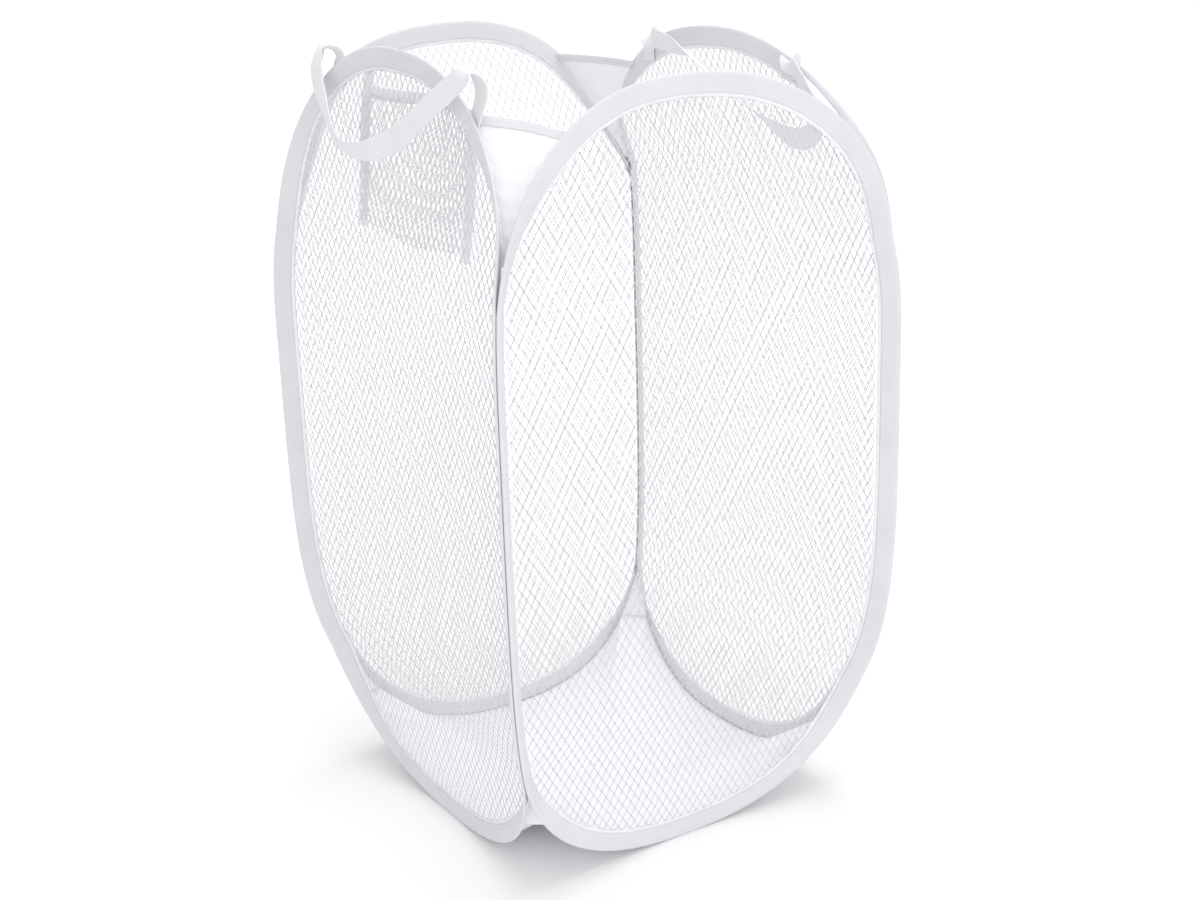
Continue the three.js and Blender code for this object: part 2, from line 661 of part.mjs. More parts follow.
// Hem tape folded over the top edge of an upper gusset, with its ends cut along the two tapes
function hemTape(k) {
  const upper = cornerRow(k, UPPER_GUSSET_HEM_HEIGHT, GUSSET_COLUMNS, HEM_END_INSET);
  const lower = cornerRow(k, UPPER_GUSSET_HEM_HEIGHT - HEM_WIDTH, GUSSET_COLUMNS, HEM_END_INSET);
  const along = upper[GUSSET_COLUMNS].clone().sub(upper[0]).normalize();
  const slot = CLOTH_THICKNESS / 2 + CLEARANCE;
  const half = slot + HEM_CLOTH;
  const rings = upper.map((top, c) => {
    const rise = top.clone().sub(lower[c]);
    const up = rise.clone().normalize();
    const face = along.clone().cross(up).normalize();
    const at = (point, lift, side) => point.clone().addScaledVector(up, lift).addScaledVector(face, side);
    return [
      at(lower[c], 0, half), at(top, CLEARANCE, half), at(top, CLEARANCE + HEM_CLOTH, 0),
      at(top, CLEARANCE, -half), at(lower[c], 0, -half), at(lower[c], 0, -slot),
      at(top, 0, -slot), at(top, CLEARANCE, 0), at(top, 0, slot), at(lower[c], 0, slot),
    ];
  });
  return sweptBody(rings, false, [0, 1, 2, 1, 0, 0, 1, 2, 1, 0]);
}

// Base cloth: its edge runs along the four feet and straight across the four corners, its middle
// lies flat on the floor, and between them it rises in a smooth curve
function baseRim() {
  const rim = [];
  const least = angleAtHeight(LOWER_GUSSET_EDGE_HEIGHT);
  SIDES.forEach(({ crownReach }, k) => {
    const turn = k * QUARTER_TURN;
    const up = new THREE.Vector3(0, 0, 1);
    for (let station = 0; station <= BASE_FOOT_STATIONS; station += 1) {
      const share = station / BASE_FOOT_STATIONS;
      const angle = THREE.MathUtils.lerp(-2 * QUARTER_TURN - least, least, share);
      const frame = tapeFrame(angle, crownReach);
      const point = inTape(frame, TAPE_WIDTH - CLOTH_LAP, TAPE_HALF + CLEARANCE + CLOTH_THICKNESS / 2);
      rim.push(point.applyAxisAngle(up, turn));
    }
    const across = cornerRow(k, LOWER_GUSSET_EDGE_HEIGHT, BASE_CORNER_STATIONS, 0);
    across.slice(1, -1).forEach((point) => rim.push(point.applyAxisAngle(up, turn)));
  });
  return rim;
}

function baseCloth() {
  const rim = baseRim();
  const rings = Array.from({ length: BASE_RINGS + 1 }, (_, ring) => {
    const share = THREE.MathUtils.lerp(1, BASE_FLAT_SHARE, ring / BASE_RINGS);
    const rise = ((share - BASE_FLAT_SHARE) / (1 - BASE_FLAT_SHARE)) ** BASE_RISE_POWER;
    return rim.map(({ x, y, z }) => (
      new THREE.Vector3(x * share, y * share, THREE.MathUtils.lerp(CLOTH_THICKNESS / 2, z, rise))));
  });
  const normals = gridNormals(rings, true).map((row) => row.map((normal) => (
    normal.z < 0 ? normal.negate() : normal)));
  normals[BASE_RINGS].forEach((normal) => normal.set(0, 0, 1));
  const count = rim.length;
  const layer = (side) => [
    ...rings.flatMap((row, r) => row.map((point, c) => (
      point.clone().addScaledVector(normals[r][c], side * CLOTH_THICKNESS / 2)))),
    new THREE.Vector3(0, 0, (1 + side) * CLOTH_THICKNESS / 2),
  ];
  const points = [...layer(1), ...layer(-1)];
  const under = points.length / 2;
  const faces = [];
  for (let c = 0; c < count; c += 1) {
    const next = (c + 1) % count;
    for (let r = 0; r < BASE_RINGS; r += 1) {
      const [a, b, d, e] = [r * count + c, r * count + next, (r + 1) * count + c, (r + 1) * count + next];
      faces.push([a, b, e], [a, e, d], [under + a, under + e, under + b], [under + a, under + d, under + e]);
    }
    const inner = BASE_RINGS * count;
    faces.push([inner + c, inner + next, under - 1]);
    faces.push([under + inner + c, under + under - 1, under + inner + next]);
    faces.push([c, under + c, under + next], [c, under + next, next]);
  }
  return outwardBody(points, faces);
}

// Handles: a loop of strap that swings about the line of its two bends, and a sewn end below each

// Angle on the upper half of the loop at a place along the panel
function angleAtAlong(along) {
  const share = along / (HAMPER_WIDTH / 2 - FIN_SHIFT);
  return Math.acos(Math.sign(share) * Math.abs(share) ** (UPPER_SIDE_POWER / 2));
}

// Where a strap is sewn to the tape's inner face: its place, and its ways up and across
function strapSeat(side, crownReach) {
  const frame = tapeFrame(angleAtAlong(side * STRAP_END_SPREAD), crownReach);
  const point = inTape(frame, TAPE_WIDTH / 2, TAPE_HALF + STRAP_SEAT + STRAP_THICKNESS / 2);
  const rise = new THREE.Vector3(0, 0, 1).addScaledVector(frame.inner, -frame.inner.z).normalize();
  return { point, rise, flat: rise.clone().cross(frame.inner).normalize() };
}

// Sewn end of a strap: flat on the tape, then up past the rim to the bend
function strapTab(side, crownReach, bendReach, bendHeight) {
  const { point, rise, flat } = strapSeat(side, crownReach);
  const higher = (distance) => point.clone().addScaledVector(rise, distance);
  const top = new THREE.Vector3(point.x, -bendReach, bendHeight - STRAP_BEND_GAP);
  const route = [higher(-TAPE_WIDTH / 2), higher(0), higher(TAPE_WIDTH), top];
  const level = new THREE.Vector3(Math.sign(flat.x), 0, 0);
  const widthwise = (share) => flat.clone().lerp(level, smoothstep(share / STRAP_LEVEL_SHARE - 1));
  return ribbonBody(ribbonStations(route, widthwise, TAB_STATIONS), STRAP_WIDTH, STRAP_THICKNESS);
}

// Loop of strap from one bend to the other: route points as shares of the spread, of the standout
// and of the droop. The strap lies flat at the bends and turns to hang with its width upright.
function strapLoop(crownReach, bendReach, bendHeight, standout, droop, shares) {
  const end = strapSeat(1, crownReach).point.x;
  const route = shares.map(([along, out, down]) => (
    new THREE.Vector3(end * along, -bendReach - standout * out, bendHeight - droop * down)));
  const gap = -Math.sign(standout) * STRAP_BEND_GAP;
  route[0].y = gap - bendReach;
  route[route.length - 1].y = gap - bendReach;
  const widthwise = (share) => {
    const turn = smoothstep(Math.min(share, 1 - share) / STRAP_TURN_SHARE) * STRAP_TURN;
    return new THREE.Vector3(share < 1 / 2 ? Math.cos(turn) : -Math.cos(turn), 0, Math.sin(turn));
  };
  const stations = evenTwist(ribbonStations(route, widthwise, STRAP_STATIONS), STRAP_TWIST_PASSES);
  return ribbonBody(stations, STRAP_WIDTH, STRAP_THICKNESS);
}

// Pocket: a net sheet that stands off the left panel's net, with tapes down its sides and along
// its mouth. Its bottom edge sags and closes against the panel.

function pocketSurface() {
  const panel = netSurface(LEFT_CROWN_REACH);
  return (along, height) => {
    const across = (along + POCKET_BACK) / (POCKET_FRONT + POCKET_BACK);
    const upward = (height - POCKET_MOUTH_HEIGHT + POCKET_DEPTH) / POCKET_DEPTH;
    const swell = Math.sin(Math.PI * THREE.MathUtils.clamp(across, 0, 1))
      * smoothstep(upward / POCKET_FULL_SHARE);
    return panel(along, height).add(new THREE.Vector3(0, POCKET_SEAT + POCKET_SWELL * swell, 0));
  };
}

// The net of the pocket fills what its side tapes and mouth tape leave open
function pocketNet() {
  const bottom = POCKET_MOUTH_HEIGHT - POCKET_DEPTH;
  const bound = POCKET_TAPE_WIDTH + CLEARANCE;
  const [left, right, top] = [bound - POCKET_BACK, POCKET_FRONT - bound, POCKET_MOUTH_HEIGHT - bound];
  const shares = Array.from({ length: POCKET_STEPS }, (_, k) => k / POCKET_STEPS);
  const across = (share) => THREE.MathUtils.lerp(left, right, share);
  const upward = (share) => THREE.MathUtils.lerp(bottom, top, share);
  const bow = (share) => Math.sin(Math.PI * share);
  const contour = [
    ...shares.map((share) => new THREE.Vector2(across(share), bottom - POCKET_SAG * bow(share))),
    ...shares.map((share) => new THREE.Vector2(right - POCKET_DRAW * bow(share), upward(share))),
    ...shares.map((share) => new THREE.Vector2(across(1 - share), top - POCKET_DRAW * bow(share))),
    ...shares.map((share) => new THREE.Vector2(left + POCKET_DRAW * bow(share), upward(1 - share))),
  ];
  const inset = roundedBox(left + NET_STRAND, right - NET_STRAND, bottom, top - NET_STRAND);
  const gaps = diamondGaps(inset, POCKET_CELL_WIDTH, POCKET_CELL_HEIGHT, NET_STRAND);
  return netBody(contour, gaps, seatOn(pocketSurface(), NET_SELVEDGE), NET_THICKNESS, []);
}

// Tape of the pocket from one place to another, each given as along and height, flat on its surface
function pocketTape(from, to) {
  const seat = seatOn(pocketSurface(), NET_SELVEDGE);
  const places = Array.from({ length: POCKET_STEPS + 1 }, (_, k) => (
    seat(new THREE.Vector2().lerpVectors(from, to, k / POCKET_STEPS))));
  const way = places[POCKET_STEPS].point.clone().sub(places[0].point);
  const stations = places.map(({ point, normal }) => (
    { point, across: way.clone().cross(normal).normalize(), face: normal }));
  return ribbonBody(stations, POCKET_TAPE_WIDTH, POCKET_TAPE_THICKNESS);
}

function pocketMouthTape() {
  const bound = POCKET_TAPE_WIDTH + CLEARANCE;
  const height = POCKET_MOUTH_HEIGHT - POCKET_TAPE_WIDTH / 2;
  const start = new THREE.Vector2(bound - POCKET_BACK, height);
  return pocketTape(start, new THREE.Vector2(POCKET_FRONT - bound, height));
}

function pocketSideTape(along) {
  const tip = POCKET_MOUTH_HEIGHT - POCKET_DEPTH - POCKET_TAPE_TIP;
  return pocketTape(new THREE.Vector2(along, tip), new THREE.Vector2(along, POCKET_MOUTH_HEIGHT));
}

// Assembly

const hamper = new THREE.Group();

function add(parent, name, geometry, finish) {
  const mesh = new THREE.Mesh(geometry, new THREE.MeshStandardMaterial(FINISHES[finish]));
  mesh.name = name;
  parent.add(mesh);
}

const panels = SIDES.map(({ name, crownReach }, k) => {
  const panel = new THREE.Group();
  panel.rotation.z = k * QUARTER_TURN;
  const frames = LOOP_ANGLES.map((angle) => tapeFrame(angle, crownReach));
  add(panel, `edge_tape_${name}`, edgeTape(frames), 'tape');
  add(panel, `spring_wire_${name}`, springWire(frames), 'wire');
  add(panel, `net_${name}`, panelNet(frames, crownReach), 'net');
  hamper.add(panel);
  return panel;
});

CORNER_NAMES.forEach((name, k) => {
  const corner = new THREE.Group();
  corner.rotation.z = k * QUARTER_TURN;
  const lowerEdge = LOWER_GUSSET_EDGE_HEIGHT + CLOTH_THICKNESS + CLEARANCE;
  const upper = gusset(k, UPPER_GUSSET_APEX_HEIGHT, UPPER_GUSSET_HEM_HEIGHT, HEM_WIDTH);
  add(corner, `gusset_upper_${name}`, upper, 'cloth');
  add(corner, `gusset_lower_${name}`, gusset(k, LOWER_GUSSET_APEX_HEIGHT, lowerEdge, 0), 'cloth');
  add(corner, `hem_tape_${name}`, hemTape(k), 'tape');
  hamper.add(corner);
});

add(hamper, 'base_cloth', baseCloth(), 'cloth');

const [, rightPanel, , leftPanel] = panels;
const leftBend = [LEFT_CROWN_REACH, LEFT_STRAP_BEND_REACH, LEFT_STRAP_BEND_HEIGHT];
const rightBend = [RIGHT_CROWN_REACH, RIGHT_STRAP_BEND_REACH, RIGHT_STRAP_BEND_HEIGHT];
const leftHang = [LEFT_STRAP_STANDOUT, LEFT_STRAP_DROOP, LEFT_STRAP_SHARES];
const rightHang = [RIGHT_STRAP_STANDOUT, RIGHT_STRAP_DROOP, RIGHT_STRAP_SHARES];
add(leftPanel, 'strap_loop_left', strapLoop(...leftBend, ...leftHang), 'strap');
add(leftPanel, 'strap_end_left_front', strapTab(1, ...leftBend), 'strap');
add(leftPanel, 'strap_end_left_back', strapTab(-1, ...leftBend), 'strap');
add(rightPanel, 'strap_loop_right', strapLoop(...rightBend, ...rightHang), 'strap');
add(rightPanel, 'strap_end_right_back', strapTab(1, ...rightBend), 'strap');
add(rightPanel, 'strap_end_right_front', strapTab(-1, ...rightBend), 'strap');

const sideTapeShift = POCKET_TAPE_WIDTH / 2;
add(leftPanel, 'pocket_net', pocketNet(), 'net');
add(leftPanel, 'pocket_mouth_tape', pocketMouthTape(), 'tape');
add(leftPanel, 'pocket_side_tape_front', pocketSideTape(POCKET_FRONT - sideTapeShift), 'tape');
add(leftPanel, 'pocket_side_tape_back', pocketSideTape(sideTapeShift - POCKET_BACK), 'tape');

export default hamper;
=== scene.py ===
"""A pop up laundry hamper: four sprung net panels, corner gussets, base cloth, handles and pocket.

Every shape is a surface worked out with numpy in the frame of one panel and then turned a quarter
at a time round the hamper. In a panel's frame x runs along the panel, y points into the hamper and
z is up. All lengths are in metres.
"""

import math

import bpy
import numpy as np
from mathutils import Matrix


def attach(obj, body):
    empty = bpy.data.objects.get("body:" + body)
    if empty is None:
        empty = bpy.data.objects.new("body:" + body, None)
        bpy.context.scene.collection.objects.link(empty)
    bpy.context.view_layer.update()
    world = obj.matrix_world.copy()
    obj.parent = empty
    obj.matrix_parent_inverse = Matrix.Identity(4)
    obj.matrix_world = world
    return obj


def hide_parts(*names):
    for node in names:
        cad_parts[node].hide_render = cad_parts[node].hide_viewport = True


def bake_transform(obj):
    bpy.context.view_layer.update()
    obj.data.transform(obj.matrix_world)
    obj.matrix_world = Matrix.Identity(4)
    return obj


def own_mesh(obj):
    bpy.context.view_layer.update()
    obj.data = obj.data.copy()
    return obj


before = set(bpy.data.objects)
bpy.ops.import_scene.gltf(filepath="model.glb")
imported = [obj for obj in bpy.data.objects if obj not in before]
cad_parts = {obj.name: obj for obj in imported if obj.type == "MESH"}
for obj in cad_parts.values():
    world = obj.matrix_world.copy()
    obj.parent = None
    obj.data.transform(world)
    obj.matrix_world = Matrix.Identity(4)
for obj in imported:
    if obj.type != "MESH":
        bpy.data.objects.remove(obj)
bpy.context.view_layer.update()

MM = 0.001

# Sides and corners of the hamper, in quarter turns from the front one
SIDES = ["front", "right", "back", "left"]
CORNERS = ["front_right", "back_right", "back_left", "front_left"]
PANEL_BODY = {name: name + "_panel" for name in SIDES}

# Loops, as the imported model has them
HEIGHT = 610 * MM
HALF_WIDTH = 179 * MM
BELLY = 376 * MM
UPPER = {"rise": 234 * MM, "side": 2.33, "power": 2.8}
LOWER = {"rise": 376 * MM, "side": 2.36, "power": 4.9}
SEAM_FOOT = 99 * MM
SEAM_HEAD = 464 * MM
CROWN_REACH = {"front": 165 * MM, "right": 136 * MM, "back": 203 * MM, "left": 136 * MM}
FOOT_REACH = 138 * MM
CROWN_LEAN = 1.3
# How each crown is drawn out of true: the shoulders' swell, then shift, lean, bulge, lift and
# tilt in mm
CROWN_DRAW = {
    "front": (0.007, -0.5, 0.3, 8.9, -3.3, -9.9),
    "right": (0.098, 2.6, -7.6, -3.8, 2.0, -13.3),
    "back": (-0.054, 1.2, 1.2, 2.8, -1.3, -3.9),
    "left": (0.051, -1.3, 4.1, -5.6, 9.1, -8.2),
}

# Tape, net and cloth
TAPE_WIDTH = 15 * MM
TAPE_HALF = 1.3 * MM
CLEARANCE = 0.3 * MM
FIN_SHIFT = (TAPE_HALF + CLEARANCE / 2) / math.sqrt(2)
TWIST_LENGTH = 60 * MM
NET_DEPTH = 16.5 * MM
NET_DISH = 8 * MM
CLOTH = 0.8 * MM
CLOTH_LAP = 3 * MM
HEM_WIDTH = 8 * MM
# Height of each upper gusset's apex, and of its hem at its two ends, in mm
UPPER_CLOTH = {
    "front_right": (506, 580, 588),
    "back_right": (482, 581, 575),
    "back_left": (478, 583, 582),
    "front_left": (496, 585, 579),
}
# Heights of each lower gusset's apex and free edge, where the base cloth is sewn on
LOWER_APEX = 84 * MM
LOWER_EDGE = 50 * MM
GUSSET_CLOTH = 0.35 * MM
BASE_CLOTH = 0.4 * MM


# Geometry of a loop


def smooth(share):
    """An S curve from 0 to 1: 3 t squared less 2 t cubed, held level outside."""
    t = np.clip(share, 0, 1)
    return t * t * (3 - 2 * t)


def half_width(height):
    """Half the loop's width at a height: a superellipse above the belly and another below it."""
    upper = height > BELLY
    rise = np.where(upper, UPPER["rise"], LOWER["rise"])
    power = np.where(upper, UPPER["power"], LOWER["power"])
    side = np.where(upper, UPPER["side"], LOWER["side"])
    share = np.minimum(np.abs(height - BELLY) / rise, 1)
    return HALF_WIDTH * (1 - share**power) ** (1 / side)


def reach(height, crown):
    """How far the loop stands from the middle: on the corner's diagonal between the seams, then
    away to the crown's reach above them and to the foot's reach below."""
    above = np.clip((height - SEAM_HEAD) / (HEIGHT - SEAM_HEAD), 0, 1) ** CROWN_LEAN
    below = np.clip((SEAM_FOOT - height) / SEAM_FOOT, 0, 1)
    seam = half_width(np.clip(height, SEAM_FOOT, SEAM_HEAD))
    return seam + (crown - seam) * above + (FOOT_REACH - seam) * below


def fin(height):
    """How far the tape is turned out of the panel: 1 on the corner seams, and by an S curve down to
    0 at crown and foot."""
    above = (height - SEAM_HEAD) / (HEIGHT - SEAM_HEAD)
    below = (SEAM_FOOT - height) / SEAM_FOOT
    return 1 - smooth(np.maximum(above, below))


def drawn(points, side):
    """Points of a loop, drawn out of true as the sewing leaves its crown: above the seams it swells
    sideways by t squared (1 - t) squared, bulges out by t squared (1 - t), and shifts, leans out,
    lifts and tilts by an S curve."""
    swell, shift, lean, bulge, lift, tilt = CROWN_DRAW[side]
    x, y, z = points[..., 0], points[..., 1], points[..., 2]
    rise = np.clip((z - SEAM_HEAD) / (HEIGHT - SEAM_HEAD), 0, 1)
    curve = smooth(rise)
    across = x * (1 + 16 * swell * rise**2 * (1 - rise) ** 2) + shift * MM * curve
    back = y - (lean * curve + 4 * bulge * rise**2 * (1 - rise)) * MM
    up = z + (lift + tilt * x / HALF_WIDTH) * MM * curve
    return np.stack([across, back, up], axis=-1)


def edge(angle, side):
    """Points of the tape's outer edge, a superellipse above the belly and another below it: angle 0
    is the belly at +x and a quarter turn the crown."""
    across, upward = np.cos(angle), np.sin(angle)
    upper = upward > 0
    rise = np.where(upper, UPPER["rise"], LOWER["rise"])
    power = np.where(upper, UPPER["power"], LOWER["power"])
    roundness = np.where(upper, UPPER["side"], LOWER["side"])
    along = (HALF_WIDTH - FIN_SHIFT) * np.sign(across) * np.abs(across) ** (2 / roundness)
    height = BELLY + np.sign(upward) * rise * np.abs(upward) ** (2 / power)
    depth = -reach(height, CROWN_REACH[side]) - FIN_SHIFT
    return drawn(np.stack([along, depth, height], axis=-1), side)


def unit(vectors):
    """Vectors of length 1."""
    return vectors / np.maximum(np.linalg.norm(vectors, axis=-1, keepdims=True), 1e-12)


def square_to(vectors, tangents):
    """Vectors made square to the tangents, with length 1."""
    return unit(vectors - (vectors * tangents).sum(-1, keepdims=True) * tangents)


def running_length(line):
    """Length along a line of points, from 0 at its first to the whole at its last."""
    span = np.linalg.norm(np.diff(line, axis=0), axis=1)
    return np.concatenate([[0], np.cumsum(span)])


def length_map(line, section):
    """A map in metres: the length along a line by the length round a section."""
    lengths = np.meshgrid(running_length(line), running_length(section), indexing="ij")
    return np.stack(lengths, axis=-1)


def tape_frame(angle, side):
    """Point on the edge, way out of the loop in the tape's plane, and way to its inner face."""
    angle = np.asarray(angle, float)
    step = 0.004
    tangent = unit(edge(angle + step, side) - edge(angle - step, side))
    point = edge(angle, side)
    turned = -fin(point[..., 2]) * np.abs(tangent[..., 2])
    outward = np.stack([tangent[..., 2], turned, -tangent[..., 0]], axis=-1)
    outward = square_to(outward, tangent)
    return point, outward, unit(np.cross(tangent, outward))


def in_tape(tape, depth, inward):
    """Point at a depth from the outer edge and a distance towards the inner face."""
    point, outward, inner = tape
    depth = np.asarray(depth, float)[..., None]
    inward = np.asarray(inward, float)[..., None]
    return point - outward * depth + inner * inward


def angle_at_height(height):
    """Angle on the +x half of a loop at a height."""
    upper = height > BELLY
    rise = np.where(upper, UPPER["rise"], LOWER["rise"])
    power = np.where(upper, UPPER["power"], LOWER["power"])
    angle = np.arcsin((np.abs(height - BELLY) / rise) ** (power / 2))
    return np.where(upper, angle, -angle)


def angle_at_along(along):
    """Angle on the upper half of a loop at a place along the panel."""
    share = along / (HALF_WIDTH - FIN_SHIFT)
    return math.acos(math.copysign(abs(share) ** (UPPER["side"] / 2), share))


def even_angles(side, count):
    """Angles round a loop from crown to crown, evenly spaced by length plus twist, where a full
    radian counts as TWIST_LENGTH."""
    fine = np.linspace(math.pi / 2, 5 * math.pi / 2, 6001)
    point, outward, inner = tape_frame(fine, side)
    span = np.linalg.norm(np.diff(point, axis=0), axis=1)
    turn = np.linalg.norm(np.diff(outward, axis=0), axis=1)
    turn += np.linalg.norm(np.diff(inner, axis=0), axis=1)
    effort = np.concatenate([[0], np.cumsum(span + turn * TWIST_LENGTH)])
    return np.interp(np.linspace(0, effort[-1], count, endpoint=False), effort, fine)


def quarter_turned(points, quarters):
    """Points of the front panel's frame, turned by quarter turns to another side."""
    turn = quarters * math.pi / 2
    cos, sin = round(math.cos(turn)), round(math.sin(turn))
    x, y, z = points[..., 0], points[..., 1], points[..., 2]
    return np.stack([cos * x - sin * y, sin * x + cos * y, z], axis=-1)


# Meshes


def grid_faces(rows, columns, wrap_rows=False, wrap_columns=False):
    """Four-sided faces of a grid of points, closed either way where asked."""
    r = np.arange(rows if wrap_rows else rows - 1)
    c = np.arange(columns if wrap_columns else columns - 1)
    r, c = np.meshgrid(r, c, indexing="ij")
    r2, c2 = (r + 1) % rows, (c + 1) % columns
    corners = [r * columns + c, r2 * columns + c, r2 * columns + c2, r * columns + c2]
    return np.stack(corners, axis=-1).reshape(-1, 4)


def outward_faces(points, faces):
    """The faces of a closed body, turned over where its volume would come out negative."""
    a, b, c, d = (points[faces[:, k]] for k in range(4))
    volume = (a * np.cross(b, c)).sum() + (a * np.cross(c, d)).sum()
    return faces[:, ::-1] if volume < 0 else faces


def make_piece(name, points, faces, finish, uv=None, outward=True):
    """A mesh object from points and four-sided faces. A repeated corner makes a triangle."""
    points = np.asarray(points, float).reshape(-1, 3)
    if outward:
        faces = outward_faces(points, faces)
    keep = faces != np.roll(faces, 1, axis=1)
    mesh = bpy.data.meshes.new(name)
    mesh.vertices.add(len(points))
    mesh.vertices.foreach_set("co", points.astype(np.float32).ravel())
    sizes = keep.sum(axis=1)
    loops = faces[keep]
    mesh.loops.add(len(loops))
    mesh.loops.foreach_set("vertex_index", loops.astype(np.int32))
    mesh.polygons.add(len(faces))
    starts = np.concatenate([[0], np.cumsum(sizes)[:-1]])
    mesh.polygons.foreach_set("loop_start", starts.astype(np.int32))
    mesh.polygons.foreach_set("use_smooth", np.ones(len(faces), bool))
    if uv is not None:
        layer = mesh.uv_layers.new(name="UVMap")
        layer.data.foreach_set("uv", uv.reshape(-1, 2)[loops].astype(np.float32).ravel())
    mesh.update(calc_edges=True)
    mesh.validate()
    piece = bpy.data.objects.new(name, mesh)
    bpy.context.scene.collection.objects.link(piece)
    mesh.materials.append(finish)
    return piece


def joined(parts):
    """Several (points, faces, uv) bodies as one."""
    offset, points, faces, uvs = 0, [], [], []
    for part_points, part_faces, part_uv in parts:
        part_points = part_points.reshape(-1, 3)
        faces.append(outward_faces(part_points, part_faces) + offset)
        points.append(part_points)
        uvs.append(part_uv.reshape(-1, 2))
        offset += len(part_points)
    return np.concatenate(points), np.concatenate(faces), np.concatenate(uvs)


def tube_faces(stations, count):
    """Faces of a run of flat rings, each of which goes out and comes back over itself, and of the
    two ends that close it."""
    c = np.arange((count - 1) // 2)
    far = count - 1 - c
    first = np.stack([c, c + 1, far - 1, far], axis=-1)
    last = (first + (stations - 1) * count)[:, ::-1]
    return np.concatenate([grid_faces(stations, count, wrap_columns=True), first, last])


def cloth_body(grid, thickness, uv):
    """A closed sheet: two layers half the thickness either side of a grid, joined round the rim.
    The normals are square to the differences along the grid's rows and columns."""
    normals = unit(np.cross(np.gradient(grid, axis=0), np.gradient(grid, axis=1)))
    shift = normals * thickness / 2
    points = np.concatenate([grid + shift, (grid - shift)[:, ::-1]], axis=1)
    uvs = np.concatenate([uv, uv[:, ::-1]], axis=1)
    return points, tube_faces(*points.shape[:2]), uvs


def ribbon(path, across, sideways, lifts):
    """A flat strip along a path: its section goes out over one face by (sideways, lift) pairs and
    back under the other, and its ends are flat."""
    tangents = unit(np.gradient(path, axis=0))
    across = square_to(across, tangents)
    face = np.cross(tangents, across)
    section = np.stack(
        [np.concatenate([sideways, sideways[::-1]]), np.concatenate([lifts, -lifts])], axis=-1
    )
    rings = (
        path[:, None]
        + across[:, None] * section[None, :, :1]
        + face[:, None] * section[None, :, 1:2]
    )
    return rings, tube_faces(*rings.shape[:2]), length_map(path, section)


# Finishes


def add_node(tree, kind, inputs=None, **settings):
    """A node with its settings, and each input linked to a socket or set to a value."""
    made = tree.nodes.new(kind)
    for key, value in settings.items():
        setattr(made, key, value)
    for key, value in (inputs or {}).items():
        socket = made.inputs[key]
        if isinstance(value, bpy.types.NodeSocket):
            tree.links.new(value, socket)
        else:
            socket.default_value = value
    return made


def node_group(name, inputs, outputs):
    """An empty shader node group with named sockets, and its tree, input node and output node."""
    tree = bpy.data.node_groups.new(name, "ShaderNodeTree")
    for label, kind, default in inputs:
        socket = tree.interface.new_socket(name=label, in_out="INPUT", socket_type=kind)
        if default is not None:
            socket.default_value = default
    for label, kind in outputs:
        tree.interface.new_socket(name=label, in_out="OUTPUT", socket_type=kind)
    return tree, tree.nodes.new("NodeGroupInput"), tree.nodes.new("NodeGroupOutput")


def maths(tree, operation, *values):
    """The output of a Math node."""
    made = add_node(tree, "ShaderNodeMath", dict(enumerate(values)), operation=operation)
    return made.outputs[0]


def mixed_colour(tree, share, first, second):
    """The colour that a Mix node gives, whose sockets 0, 6 and 7 take the share and the colours."""
    made = add_node(tree, "ShaderNodeMix", {0: share, 6: first, 7: second}, data_type="RGBA")
    return made.outputs[2]


def weave_group():
    """Over and under threads: the height is the product of a wave along each way of the cloth."""
    tree, given, result = node_group(
        "woven threads",
        [
            ("Vector", "NodeSocketVector", None),
            ("Warps", "NodeSocketFloat", 2000.0),
            ("Wefts", "NodeSocketFloat", 2000.0),
        ],
        [("Height", "NodeSocketFloat")],
    )
    parts = add_node(tree, "ShaderNodeSeparateXYZ", {"Vector": given.outputs["Vector"]})
    along = maths(tree, "MULTIPLY", parts.outputs["X"], given.outputs["Warps"])
    across = maths(tree, "MULTIPLY", parts.outputs["Y"], given.outputs["Wefts"])
    first = maths(tree, "SINE", maths(tree, "MULTIPLY", along, math.pi))
    second = maths(tree, "SINE", maths(tree, "MULTIPLY", across, math.pi))
    wave = maths(tree, "MULTIPLY", first, second)
    tree.links.new(maths(tree, "MULTIPLY_ADD", wave, 0.5, 0.5), result.inputs["Height"])
    return tree


def shade_group():
    """A colour that drifts a little between a lighter and a darker one in soft patches, with
    fainter, finer specks on top."""
    tree, given, result = node_group(
        "cloth shade",
        [
            ("Vector", "NodeSocketVector", None),
            ("Light", "NodeSocketColor", (1, 1, 1, 1)),
            ("Dark", "NodeSocketColor", (0.5, 0.5, 0.5, 1)),
            ("Patches", "NodeSocketFloat", 20.0),
            ("Specks", "NodeSocketFloat", 900.0),
        ],
        [("Color", "NodeSocketColor")],
    )
    patches, specks = (
        add_node(
            tree,
            "ShaderNodeTexNoise",
            {"Vector": given.outputs["Vector"], "Scale": given.outputs[scale], "Detail": detail},
        )
        for scale, detail in (("Patches", 3.0), ("Specks", 2.0))
    )
    fine = maths(tree, "MULTIPLY", specks.outputs["Fac"], 0.4)
    both = maths(tree, "MULTIPLY_ADD", patches.outputs["Fac"], 1.2, fine)
    mask = maths(tree, "SUBTRACT", both, 0.3)
    mask.node.use_clamp = True
    mixed = mixed_colour(tree, mask, given.outputs["Light"], given.outputs["Dark"])
    tree.links.new(mixed, result.inputs["Color"])
    return tree


WEAVE = weave_group()
SHADE = shade_group()


def linear(red, green, blue):
    """A display colour from 0 to 255 as linear light."""
    share = np.array([red, green, blue]) / 255
    light = np.where(share <= 0.04045, share / 12.92, ((share + 0.055) / 1.055) ** 2.4)
    return (*light.tolist(), 1.0)


